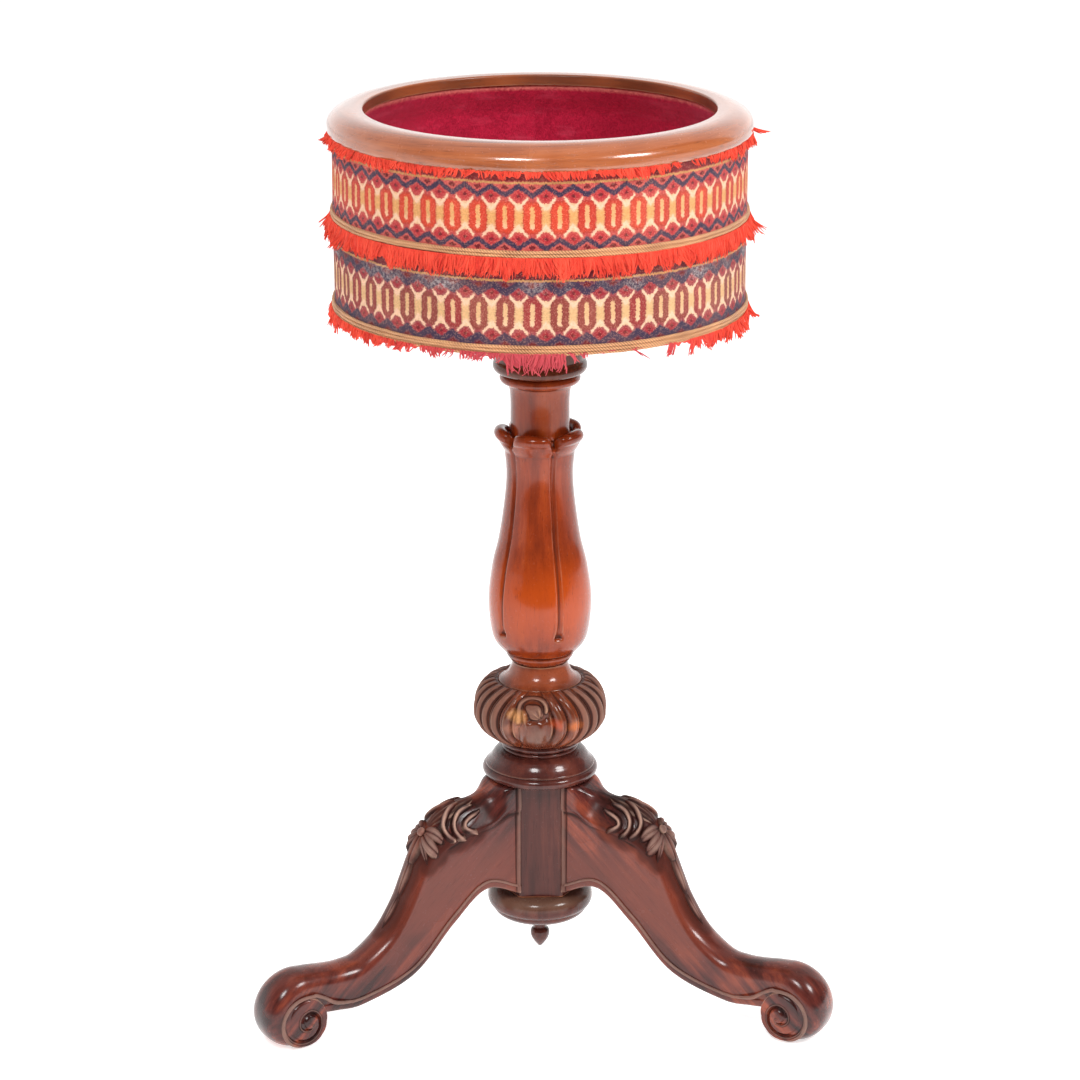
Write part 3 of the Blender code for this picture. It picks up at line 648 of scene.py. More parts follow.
@dataclass(frozen=True)
class WovenBand(Finish):
    """A woven braid of oval links between zigzags, coloured thread by thread."""

    middle: float
    ring: Rgb
    ring_faded: Rgb
    spindle: Rgb = (228, 164, 100)
    cream: Rgb = (246, 202, 168)
    ground: Rgb = (196, 72, 68)
    outer_ground: Rgb = (204, 86, 80)
    diamond: Rgb = (188, 46, 54)
    maroon: Rgb = (112, 20, 32)
    navy: Rgb = (62, 46, 72)
    selvedge: Rgb = (206, 150, 92)
    bald: Rgb = (206, 196, 192)
    faded: Rgb = (232, 170, 138)
    faded_share: float = 0.14
    bald_share: float = 0.0
    zigzag_half: float = 2.2
    repeats: int = 50
    radius: float = 0.1652
    thread: float = 0.85
    warps: int = 24

    def material(self) -> bpy.types.Material:
        """Makes the material."""
        nodes = Nodes(self.name)
        turn, _, up = self.turn_of(nodes)
        around = nodes.vector(turn * self.radius, 0.0, up)
        pitch = TAU * self.radius / self.repeats / MM
        run = turn * (self.repeats / TAU)
        wander = nodes.noise(around, 60.0, 2.0) - 0.5
        thread = (up * (1 / MM)).stepped(self.thread)
        across = (run.fraction() - 0.5) * pitch + (nodes.noise(around, 110.0, 2.0) - 0.5) * 1.3
        across = across + (nodes.speckle(nodes.vector(thread, run.math("FLOOR"), 0.0)) - 0.5) * 0.9
        height = (up - self.middle) * (1 / MM) + wander * 2.0
        height = height + (nodes.speckle(nodes.vector(run.stepped(1 / self.warps), 3.0, 0.0)) - 0.5) * 0.9
        x = abs(across.stepped(pitch / self.warps))
        v = abs(height.stepped(self.thread))
        soft, blur = 0.5, 0.16
        half, tall = 7.2, 12.4
        bevel = ((x - half) * 1.15 + v - 8.6) * 0.66
        oval = (x - half).most(v - tall).most(bevel)
        slit = (x - 1.6).most(v - 8.9).most((x + v - 9.6) * 0.7)
        arm = abs(bevel - 1.0).most(x - half - 2.4) - 1.15
        arm = arm.most(3.2 - x).most(v - 15.6)
        aside = pitch / 2 - x
        lozenge = aside / 5.6 + abs(v - 16.3) / 4.3 - 1.0
        core = aside / 2.0 + abs(v - 16.3) / 1.6 - 1.0
        zigzag = abs(v - x * (6.8 / (pitch / 2)) - 16.9) - self.zigzag_half
        dart = x / 3.4 + abs(v - 23.0) / 2.1 - 1.0
        link = run.math("FLOOR")
        own = nodes.speckle(nodes.vector(link, self.middle * 10, 0.5))
        ring = nodes.mixed(self.ring, self.ring_faded, own.rise(0.2, 0.9))
        colour = nodes.mixed(self.ground, self.outer_ground, (v - x * 0.5 - 18.0).rise(-0.5, 0.5))
        in_row = (v - 10.8).inside(soft)
        colour = colour.towards(self.spindle, in_row).towards(self.cream, (v - 3.0).rise(0.0, 6.0) * in_row * 0.7)
        colour = colour.towards(self.diamond, lozenge.inside(blur)).towards(self.maroon, core.inside(0.15))
        colour = colour.towards(self.cream, arm.inside(soft)).towards(ring, oval.inside(soft))
        colour = colour.towards(self.maroon, abs(oval + 0.5).rise(0.9, 0.2) * 0.28)
        hollow = nodes.mixed(self.spindle, self.cream, (height + 3.0).rise(3.0, -9.0) * 0.8 + own * 0.2)
        colour = colour.towards(hollow, slit.inside(soft)).towards(self.navy, zigzag.inside(soft))
        colour = colour.towards(self.maroon, dart.inside(blur))
        colour = colour.towards(self.selvedge, (abs(v - 26.4) - 0.8).inside(soft))
        colour = colour.towards(self.maroon, (v - 27.6).rise(-0.3, 0.3) * 0.85)
        threads = nodes.vector(run.stepped(1 / self.warps), height.stepped(self.thread), 0.0)
        grainy = nodes.speckle(threads)
        fade = nodes.noise(around, 18.0, 4.0)
        fleck = nodes.noise(around, 900.0, 2.0, 0.7)
        colour = colour.towards(self.faded, (fade.rise(0.42, 0.75) * 0.5 + grainy.rise(0.6, 1.0)) * self.faded_share)
        colour = colour.shaded(grainy * 0.20 + fade * 0.22 + fleck * 0.30 + 0.60)
        if self.bald_share:
            where = nodes.noise(nodes.vector(turn * 0.16, 0.0, up * 0.3), 20.0, 2.0).rise(0.46, 0.62)
            edge = (height - 19.0).rise(-5.0, 0.0) * (height - 26.5).inside(1.0)
            rubbed = nodes.noise(around, 420.0, 3.0, 0.7).rise(0.42, 0.66)
            colour = colour.towards(self.bald, where * edge * (rubbed * 0.8 + grainy * 0.2) * self.bald_share)
        weft = (height * (TAU / self.thread)).sine()
        warp = (run * (TAU * self.warps)).sine()
        lint = nodes.noise(nodes.place(), 2400.0, 2.0)
        return nodes.surface({
            "Base Color": colour,
            "Roughness": grainy * 0.1 + 0.82,
            "Sheen Weight": 0.12,
            "Sheen Roughness": 0.5,
            "Specular IOR Level": 0.15,
            "Normal": nodes.bump(weft * 0.5 + warp * 0.3 + lint * 0.9 + grainy * 0.6, 0.0004, 0.8),
        })


@dataclass(frozen=True)
class GoldBraid(Finish):
    """Tarnished gold-coloured cord, twisted, with dark lines in the lay."""

    bright: Rgb = (224, 166, 116)
    tarnish: Rgb = (146, 92, 54)
    strands: int = 420

    def material(self) -> bpy.types.Material:
        """Makes the material."""
        nodes = Nodes(self.name)
        turn, out, up = self.turn_of(nodes)
        lay = (turn * self.strands + up * 2600.0).sine()
        along = nodes.vector(turn * DRUM_RADIUS, out, up)
        cloud = nodes.noise(along, 30.0, 4.0)
        fuzz = nodes.noise(along, 1800.0, 3.0)
        colour = nodes.mixed(self.tarnish, self.bright, (lay * 0.22 + cloud * 0.9 + fuzz * 0.3).rise(0.2, 0.85))
        return nodes.surface({
            "Base Color": colour,
            "Roughness": fuzz * 0.2 + 0.55,
            "Metallic": cloud.rise(0.3, 0.8) * 0.2,
            "Sheen Weight": 0.15,
            "Normal": nodes.bump(lay * 0.6 + fuzz * 0.5, 0.0004, 0.9),
        })


@dataclass(frozen=True)
class DyedWool(Finish):
    """Cut wool yarn, its colour changing from tuft to tuft, with paler ends that carry a painted highlight."""

    deep: Rgb = (196, 44, 36)
    bright: Rgb = (238, 84, 62)
    pale: Rgb = (248, 140, 108)
    rose: Rgb = (182, 72, 84)
    rose_share: float = 0.0
    tip: tuple[float, float] = (0.0, 1.0)

    def material(self) -> bpy.types.Material:
        """Makes the material."""
        nodes = Nodes(self.name)
        turn, _, up = self.turn_of(nodes)
        round_it = nodes.vector(turn * DRUM_RADIUS, 0.0, up * 0.15)
        tuft = nodes.noise(round_it, 130.0, 4.0, 0.6)
        yarn = nodes.noise(round_it, 900.0, 2.0, 0.6)
        hair = nodes.noise(nodes.scaled(nodes.place(), (1.0, 1.0, 0.25)), 5000.0, 2.0)
        colour = nodes.mixed(self.deep, self.bright, (tuft * 0.7 + yarn * 0.5).rise(0.35, 0.8))
        # Paler yarn ends, painted with the highlight they catch.
        colour = colour.towards(self.pale, up.rise(self.tip[1], self.tip[0]) * yarn.rise(0.4, 0.7) * 0.6)
        if self.rose_share:
            front = (abs(turn) + (tuft - 0.5) * 0.5).rise(1.0, 0.25)
            colour = colour.towards(self.rose, front * self.rose_share)
        return nodes.surface({
            "Base Color": colour.shaded(hair * 0.3 + 0.85),
            "Roughness": hair * 0.1 + 0.85,
            "Sheen Weight": 0.35,
            "Sheen Roughness": 0.4,
            "Sheen Tint": linear((255, 170, 140)),
            "Specular IOR Level": 0.2,
            "Normal": nodes.bump(hair, 0.0003, 0.6),
        })


@dataclass(frozen=True)
class PaleFloor(Finish):
    """The studio's near-white sweep."""

    white: Rgb = (250, 250, 250)
    shine: float = 0.62

    def material(self) -> bpy.types.Material:
        """Makes the material."""
        nodes = Nodes(self.name)
        tooth = nodes.noise(nodes.place(), 60.0, 3.0)
        return nodes.surface({
            "Base Color": nodes.mixed((246, 246, 246), self.white, tooth),
            "Roughness": 0.9,
            "Specular IOR Level": 0.1,
            "Emission Color": linear((255, 255, 255)),
            "Emission Strength": self.shine,
        })


MAHOGANY_BASE = PolishedWood("dark_mahogany", Slot.MAHOGANY, Grain.UPRIGHT, wear=0.3)
# The pale grey band on the bun's top is worn polish with a painted reflection of the light above.
MAHOGANY_BOSS = PolishedWood("boss_mahogany", Slot.MAHOGANY, Grain.UPRIGHT, wear=0.3, coat=0.4,
                             glow=(0.0775, 0.0950, 0.0040, (104, 76, 62)))
MAHOGANY_BLOCK = PolishedWood("block_mahogany", Slot.MAHOGANY, Grain.UPRIGHT, wear=0.8, worn=(178, 112, 76), coat=0.35)
# Darker than the other mahogany: painted shade under the drum.
SHADED_COLLAR_MAHOGANY = PolishedWood("shaded_collar_mahogany", Slot.MAHOGANY, Grain.UPRIGHT, dark=(56, 23, 13), middle=(92, 40, 22),
                               light=(124, 60, 32), wear=0.2, coat=0.5)
MAHOGANY_LEG = PolishedWood("leg_mahogany", Slot.MAHOGANY, Grain.ALONG, dark=(48, 19, 17), middle=(90, 38, 32),
                            light=(150, 70, 47), worn=(200, 160, 140), aged=(120, 92, 84), wear=0.85, hollow_dust_shade=0.95,
                            gloss=0.2, contrast=2.0, glow=(0.060, 0.140, 0.030, (112, 50, 36)))
MAHOGANY_KNOP = PolishedWood("knop_mahogany", Slot.MAHOGANY, Grain.UPRIGHT, dark=(58, 24, 14), middle=(104, 46, 26),
                             light=(158, 76, 36), aged=(126, 90, 78), wear=0.6, hollow_dust_shade=0.8,
                             glow=(0.2725, 0.2850, 0.0030, (148, 72, 44)),
                             # Front patches: a pale scar, a pinkish scar and a duller brown lobe, then two painted
                             # glints.
                             patches_and_glints=((-0.0210, 0.2540, 0.0085, (206, 146, 92)),
                                    (-0.0245, 0.2430, 0.0095, (158, 100, 76)),
                                    (-0.0040, 0.2370, 0.0150, (120, 84, 70)),
                                    # Painted glints: orange light on the ribs right of the leaf.
                                    (0.0120, 0.2480, 0.0080, (178, 68, 24)),
                                    (0.0275, 0.2450, 0.0080, (196, 100, 34))))
# The amber band round the belly is a painted glow of light.
MAHOGANY_PILLAR = PolishedWood("pillar_mahogany", Slot.MAHOGANY, Grain.UPRIGHT, dark=(88, 29, 11), middle=(132, 48, 16),
                               light=(166, 71, 23), wear=0.3, glow=(0.322, 0.372, 0.022, (172, 64, 2)))
MAHOGANY_RIM = PolishedWood("rim_mahogany", Slot.MAHOGANY, Grain.AROUND, dark=(104, 50, 24), middle=(158, 84, 46),
                            light=(190, 112, 66), wear=0.35, coat=1.0, shine=0.5)
PINE_AROUND = RawWood("pine_bent", Slot.PINE, Grain.AROUND)
PINE_LEVEL = RawWood("pine_board", Slot.PINE, Grain.LEVEL)
BEARER_WOOD = RawWood("bearer_wood", Slot.MAHOGANY, Grain.LEVEL, early=(98, 52, 30), late=(62, 30, 18))
IRON = RustedIron("old_iron", Slot.IRON)
FELT = CrimsonFelt("crimson_felt", Slot.FELT)
WEAVE_UPPER = WovenBand("weave_upper", Slot.WEAVE, 0.69735, (214, 66, 42), (200, 58, 42))
WEAVE_LOWER = WovenBand("weave_lower", Slot.WEAVE, 0.62235, (146, 66, 58), (158, 54, 54), ground=(160, 66, 72),
                        outer_ground=(112, 54, 72), diamond=(164, 40, 52), spindle=(228, 180, 128),
                        faded_share=0.18, bald_share=0.7, zigzag_half=3.0)
GOLD = GoldBraid("gold_braid", Slot.GOLD)
WOOL_TOP = DyedWool("wool_top", Slot.WOOL, tip=(0.7215, 0.728))
WOOL_MIDDLE = DyedWool("wool_middle", Slot.WOOL, tip=(0.646, 0.655))
WOOL_BOTTOM = DyedWool("wool_bottom", Slot.WOOL, rose_share=0.85, tip=(0.574, 0.584))

TOP_FULLNESS = ((-180.0, 1.0, 1.0), (-60.0, 1.0, 1.15), (-38.0, 0.95, 1.0), (-22.0, 0.7, 0.75), (-5.0, 0.75, 0.7),
                (14.0, 0.8, 0.75), (24.0, 1.0, 1.1), (36.0, 0.5, 0.6), (48.0, 0.6, 0.7), (62.0, 1.0, 1.15),
                (180.0, 1.0, 1.0))
LOW_FULLNESS = ((-180.0, 0.8, 0.9), (-75.0, 1.0, 0.95), (-50.0, 0.9, 0.75), (-28.0, 0.6, 0.5), (-13.0, 0.7, 0.65),
                (-10.0, 1.0, 1.2), (3.5, 1.0, 1.25), (6.0, 0.4, 0.7), (30.0, 0.25, 0.5), (42.0, 0.6, 1.1),
                (55.0, 0.9, 1.15), (180.0, 0.8, 0.9))


class Bench:
    """Keeps one material per finish and turns meshes into pieces of the stand."""

    def __init__(self, frame: Mapping[str, object]) -> None:
        """Takes the loaded frame."""
        self.nodes: dict[str, bpy.types.Object] = frame["nodes"]
        self.made: dict[str, bpy.types.Material] = {}

    def material(self, finish: Finish) -> bpy.types.Material:
        """The finish's material, made once."""
        if finish.name not in self.made:
            self.made[finish.name] = finish.material()
        return self.made[finish.name]

    def refinish(self, node: str, finish: Finish) -> None:
        """Gives a CAD node that stays in view a better material.

        Args:
            node: The node's name.
            finish: Its finish.
        """
        for slot in self.nodes[node].material_slots:
            slot.material = self.material(finish)
        log.info("kept %s in %s", node, finish.name)

    def piece(self, name: str, bm: bmesh.types.BMesh, finish: Finish, replaces: Sequence[str] = (),
              sharp: float = 50.0, wear_steps: int = 0) -> bpy.types.Object:
        """Makes a piece of the stand from a bmesh and sets it on the frame.

        Args:
            name: The piece's name.
            bm: Its shape, in place; it is freed.
            finish: Its finish.
            replaces: CAD nodes that it stands for.
            sharp: Edges folded more than this many degrees stay crisp.
            wear_steps: How many rounds of smoothing the wear is measured against; 0 leaves it out.

        Returns:
            The new object.
        """
        mesh = bpy.data.meshes.new(name)
        bm.to_mesh(mesh)
        bm.free()
        mesh.shade_smooth()
        mesh.set_sharp_from_angle(angle=math.radians(sharp))
        if wear_steps:
            stamp_wear(mesh, wear_steps)
        return self.placed(name, mesh, finish, replaces)

    def placed(self, name: str, mesh: bpy.types.Mesh, finish: Finish, replaces: Sequence[str] = ()) -> bpy.types.Object:
        """Links a finished mesh as a piece that rides on the frame.

        Args:
            name: The piece's name.
            mesh: Its mesh.
            finish: Its finish.
            replaces: CAD nodes that it stands for.

        Returns:
            The new object.
        """
        mesh.materials.clear()
        mesh.materials.append(self.material(finish))
        made = bpy.data.objects.new(name, mesh)
        bpy.context.scene.collection.objects.link(made)
        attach(made, BODY)
        if replaces:
            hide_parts(*replaces)
        log.info("made %s: %d faces, %s", name, len(mesh.polygons), finish.name)
        return made


def stamp_wear(mesh: bpy.types.Mesh, steps: int, full: float = 0.0009) -> None:
    """Stores how far each point stands out of, or lies in, its smoothed surroundings, as the attribute "wear".

    Args:
        mesh: The mesh to measure.
        steps: Rounds of smoothing.
        full: The distance that counts as 1.
    """
    count = len(mesh.vertices)
    points = np.empty(count * 3)
    mesh.vertices.foreach_get("co", points)
    points = points.reshape(-1, 3)
    normals = np.empty(count * 3)
    mesh.vertices.foreach_get("normal", normals)
    ends = np.empty(len(mesh.edges) * 2, np.int64)
    mesh.edges.foreach_get("vertices", ends)
    a, b = ends.reshape(-1, 2).T
    joined = np.maximum(np.bincount(a, minlength=count) + np.bincount(b, minlength=count), 1)[:, None]
    soft = points.copy()
    for _ in range(steps):
        near = np.stack([np.bincount(a, soft[b, k], count) + np.bincount(b, soft[a, k], count) for k in range(3)], 1)
        soft = 0.3 * soft + 0.7 * near / joined
    proud = ((points - soft) * normals.reshape(-1, 3)).sum(axis=1) / full
    if "rub" in mesh.attributes:
        share = np.empty(count, np.float32)
        mesh.attributes["rub"].data.foreach_get("value", share)
        proud = np.where(proud > 0, proud * share, proud)
    layer = mesh.attributes.new("wear", "FLOAT", "POINT")
    layer.data.foreach_set("value", np.clip(proud, -1, 1).astype(np.float32))


def tidied(bm: bmesh.types.BMesh, within: float = WELD) -> bmesh.types.BMesh:
    """Merges doubled points, closes open ends and turns the faces outwards.

    Args:
        bm: The shape.
        within: Points this close are one.

    Returns:
        The same shape.
    """
    bmesh.ops.remove_doubles(bm, verts=bm.verts, dist=within)
    bmesh.ops.holes_fill(bm, edges=[e for e in bm.edges if e.is_boundary])
    bmesh.ops.recalc_face_normals(bm, faces=bm.faces)
    return bm


def faced(bm: bmesh.types.BMesh, ahead: Callable[[bmesh.types.BMFace], float]) -> bmesh.types.BMesh:
    """Merges a cloth's doubled points and turns its faces to the side that shows.

    Args:
        bm: The cloth, still without thickness.
        ahead: Negative for a face that looks the wrong way.

    Returns:
        The same cloth.
    """
    bmesh.ops.remove_doubles(bm, verts=bm.verts, dist=WELD)
    bmesh.ops.recalc_face_normals(bm, faces=bm.faces)
    if ahead(next(iter(bm.faces))) < 0:
        bmesh.ops.reverse_faces(bm, faces=bm.faces)
    return bm


def outwards(face: bmesh.types.BMFace) -> float:
    """Positive for a face that looks away from the stand's axis."""
    return face.normal.dot(face.calc_center_median())


def thicken(cloth: bpy.types.Object, thick: float) -> None:
    """Gives a cloth its thickness, behind its face."""
    wall = cloth.modifiers.new("thickness", "SOLIDIFY")
    wall.thickness, wall.offset = thick, -1.0


def turned(outline: np.ndarray, steps: int, fine: float = 0.0011) -> bmesh.types.BMesh:
    """A turned shape.

    Args:
        outline: Its half section as (radius, height) rows.
        steps: Facets round it.
        fine: The longest step along the half section.

    Returns:
        The closed shape.
    """
    bm = bmesh.new()
    points = [bm.verts.new((r, 0, z)) for r, z in spaced(outline, fine)]
    edges = [bm.edges.new(pair) for pair in zip(points, points[1:])]
    bmesh.ops.spin(bm, geom=points + edges, cent=(0, 0, 0), axis=(0, 0, 1), angle=TAU, steps=steps, use_merge=True)
    return tidied(bm)


def gridded(rows: int, columns: int, shape: Callable[[np.ndarray, np.ndarray], np.ndarray]) -> bmesh.types.BMesh:
    """A fine grid pulled into shape.

    Args:
        rows: Points along the first share.
        columns: Points along the second share.
        shape: Gives the places of points from their two shares, 0 to 1.

    Returns:
        The grid, still open at its edges.
    """
    bm = bmesh.new()
    bmesh.ops.create_grid(bm, x_segments=rows - 1, y_segments=columns - 1, size=1.0)
    shares = np.array([v.co[:2] for v in bm.verts]) / 2 + 0.5
    for vert, place in zip(bm.verts, shape(shares[:, 0], shares[:, 1])):
        vert.co = place
    return bm


def pulled(bm: bmesh.types.BMesh, move: Callable[[np.ndarray], np.ndarray]) -> bmesh.types.BMesh:
    """Moves every point of a shape, as carving does.

    Args:
        bm: The shape.
        move: Gives the new places from the old ones.

    Returns:
        The same shape.
    """
    places = move(np.array([v.co for v in bm.verts]))
    for vert, place in zip(bm.verts, places):
        vert.co = place
    bmesh.ops.recalc_face_normals(bm, faces=bm.faces)
    return bm


def corded(name: str, lines: Sequence[np.ndarray], radii: Sequence[np.ndarray], sides: int = 0, closed: bool = False,
           caps: bool = True) -> bpy.types.Mesh:
    """Round cords along lines, as one mesh.

    Args:
        name: The mesh's name.
        lines: The points of each cord.
        radii: The cord's radius at each point.
        sides: Blender's bevel resolution; 0 gives four sides.
        closed: Whether each cord meets its own start.
        caps: Whether the ends are filled.

    Returns:
        The mesh.
    """
    curve = bpy.data.curves.new(name, "CURVE")
    curve.dimensions = "3D"
    curve.bevel_depth = 1.0
    curve.bevel_resolution = sides
    curve.use_fill_caps = caps and not closed
    for line, radius in zip(lines, radii):
        spline = curve.splines.new("POLY")
        spline.points.add(len(line) - 1)
        spline.points.foreach_set("co", np.column_stack([line, np.ones(len(line))]).ravel())
        spline.points.foreach_set("radius", np.asarray(radius, float))
        spline.use_cyclic_u = closed
    holder = bpy.data.objects.new(name, curve)
    mesh = bpy.data.meshes.new_from_object(holder)
    bpy.data.objects.remove(holder)
    bpy.data.curves.remove(curve)
    mesh.name = name
    mesh.shade_smooth()
    return mesh


def marked(bm: bmesh.types.BMesh, rub: float, carved: float | np.ndarray) -> bmesh.types.BMesh:
    """Stores how worn and how carved every point is, for the finish to read.

    Args:
        bm: The shape.
        rub: How much its ridges are rubbed.
        carved: 0 on plain wood, about 0.15 in hollows, which the finish paints in shade, and up to 1 on the carving's
            crests.

    Returns:
        The same shape.
    """
    rubbed, cut = bm.verts.layers.float.new("rub"), bm.verts.layers.float.new("carved")
    for vert, share in zip(bm.verts, np.broadcast_to(carved, len(bm.verts))):
        vert[rubbed], vert[cut] = rub, float(share)
    return bm


def joined(target: bmesh.types.BMesh, *others: bmesh.types.BMesh | bpy.types.Mesh) -> bmesh.types.BMesh:
    """Adds shapes to one bmesh and frees them.

    Args:
        target: The shape that is added to.
        others: What is added.

    Returns:
        The target.
    """
    for other in others:
        mesh = other
        if isinstance(other, bmesh.types.BMesh):
            mesh = bpy.data.meshes.new("part")
            other.to_mesh(mesh)
            other.free()
        target.from_mesh(mesh)
        bpy.data.meshes.remove(mesh)
    return target


@dataclass
class Rim:
    """The moulded top ring of the drum."""

    inner: float = 0.1400
    outer: float = 0.1690
    bottom: float = 0.7426
    top: float = 0.7516
    apron: float = 0.7316
    seat: float = 0.1655

    def build(self, bench: Bench) -> None:
        """Turns the ring.

        Args:
            bench: Where pieces are made.
        """
        shoulder, drop = self.inner + 0.0085, self.top - self.apron
        outline = np.vstack([
            [(self.inner, self.bottom)],
            arc((self.inner + 0.0016, self.top - 0.0019), 0.0016, 0.0016, 180, 96, 7),
            arc((shoulder, self.top - drop * 0.62), self.outer - shoulder, drop * 0.62, 92, 0, 28),
            arc((self.outer - 0.0034, self.apron + 0.0048), 0.0033, 0.0048, -4, -90, 9),
            [(self.seat, self.apron), (self.seat, self.bottom)],
        ])
        outline = np.vstack([outline, outline[:1]])
        ring = turned(outline, 256)
        x, y, _ = np.array([vert.co for vert in ring.verts]).T
        turn = np.arctan2(y, x)
        # Painted shade on the rim's inner face: a small carved share there, which the finish darkens.
        inner_shade_depth = 0.085 + 0.03 * np.sin(7 * turn + 1.0) * np.sin(3 * turn)
        painted_inner_shade = inner_shade_depth * ease((self.inner + 0.0012 - np.hypot(x, y)) / 0.0010)
        bench.piece("rim", marked(ring, 1.0, painted_inner_shade), MAHOGANY_RIM, ["rim_moulding"], wear_steps=6)


@dataclass
class Lining:
    """The felt on the drum's wall and floor."""

    radius: float = 0.1542
    low: float = 0.6050
    high: float = 0.7422
    thick: float = 0.0020
    floor_top: float = 0.6072
    tuck: float = 0.0098
    tuck_from: float = 0.7160

    def build(self, bench: Bench) -> None:
        """Makes the two cloths, with a shallow unevenness where the glue holds unevenly.

        Args:
            bench: Where pieces are made.
        """
        inside = self.radius - self.thick

        def wall(s: np.ndarray, t: np.ndarray) -> np.ndarray:
            """Places on the wall's cloth.

            Args:
                s: Shares round it.
                t: Shares up it.

            Returns:
                The places, one row each.
            """
            turn = TAU * s
            wave = 0.5 + 0.5 * np.sin(9 * turn + 1.3) * np.cos(14 * turn + 5 * t)
            up = self.low + (self.high - self.low) * t
            ruck = 1.0 - 0.12 * (0.5 + 0.5 * np.sin(11 * turn + 0.4) * np.sin(4 * turn))
            tucked = self.tuck * ruck * ease((up - self.tuck_from) / (self.high - self.tuck_from))
            radius = inside - 0.0004 * wave * np.sin(np.pi * t) - tucked
            return round_axis(radius, turn, up)

        cloth = faced(gridded(193, 49, wall), lambda face: -outwards(face))
        made = bench.piece("felt_wall", cloth, FELT, ["lining_wall"])
        thicken(made, self.thick)

        def floor(s: np.ndarray, t: np.ndarray) -> np.ndarray:
            """Places on the floor's cloth.

            Args:
                s: Shares round it.
                t: Shares out from its middle.

            Returns:
                The places, one row each.
            """
            turn, radius = TAU * s, (inside - 0.0005) * t
            rise = 0.0003 * np.sin(5 * turn + 0.7) * np.sin(np.pi * t)
            return round_axis(radius, turn, self.floor_top + rise - 0.0003)

        disc = faced(gridded(129, 21, floor), lambda face: face.normal.z)
        made = bench.piece("felt_floor", disc, FELT, ["lining_floor"])
        thicken(made, self.thick)


@dataclass
class Band:
    """One of the two woven bands round the drum."""

    name: str
    node: str
    finish: WovenBand
    low: float
    high: float
    radius: float = 0.1650
    thick: float = 0.0012
    seed: float = 0.0

    def build(self, bench: Bench, trims: Sequence[bpy.types.Object]) -> None:
        """Stretches the band round the hoop, a little uneven.

        Args:
            bench: Where pieces are made.
            trims: The braid and fringes sewn to it; not used.
        """
        def cloth(s: np.ndarray, t: np.ndarray) -> np.ndarray:
            """Places on the band.

            Args:
                s: Shares round it.
                t: Shares up it.

            Returns:
                The places, one row each.
            """
            turn = TAU * s
            swell = np.sin(7 * turn + self.seed) * np.sin(11 * turn + 2 * self.seed + 3 * t)
            radius = self.radius + 0.00035 * swell
            up = self.low + (self.high - self.low) * t
            return round_axis(radius, turn, up)

        made = bench.piece(self.name, faced(gridded(385, 19, cloth), outwards), self.finish, [self.node])
        thicken(made, self.thick)


@dataclass
class Braid:
    """Gold cords laid side by side round the drum on a flat tape."""

    name: str
    node: str
    heights: tuple[float, ...]
    thickness: tuple[float, ...]
    radius: float = 0.1652
    seed: int = 1

    def build(self, bench: Bench) -> bpy.types.Object:
        """Lays the cords.

        Args:
            bench: Where pieces are made.

        Returns:
            The braid.
        """
        draw = np.random.default_rng(self.seed)
        turn = np.linspace(0, TAU, 360, endpoint=False)
        lines, radii = [], []
        for height, thick in zip(self.heights, self.thickness):
            phase = draw.uniform(0, TAU, 3)
            stray = 0.35 * np.sin(3 * turn + phase[0]) + 0.25 * np.sin(8 * turn + phase[1])
            stray = stray + 0.12 * np.sin(21 * turn + phase[2])
            out = self.radius + thick * 0.55 + 0.0001 * np.sin(40 * turn)
            lines.append(round_axis(out, turn, height + stray * MM))
            radii.append(thick * (1 + 0.08 * np.sin(90 * turn + phase[0])))
        mesh = corded(self.name, lines, radii, sides=2, closed=True)
        low, high = min(self.heights) - 0.0012, max(self.heights) + 0.0012
        tape = turned(np.array([(self.radius - 0.0004, low), (self.radius + 0.0007, low + 0.0004),
                                (self.radius + 0.0007, high - 0.0004), (self.radius - 0.0004, high),
                                (self.radius - 0.0004, low)]), 192)
        return bench.piece(self.name, joined(tape, mesh), GOLD, [self.node])


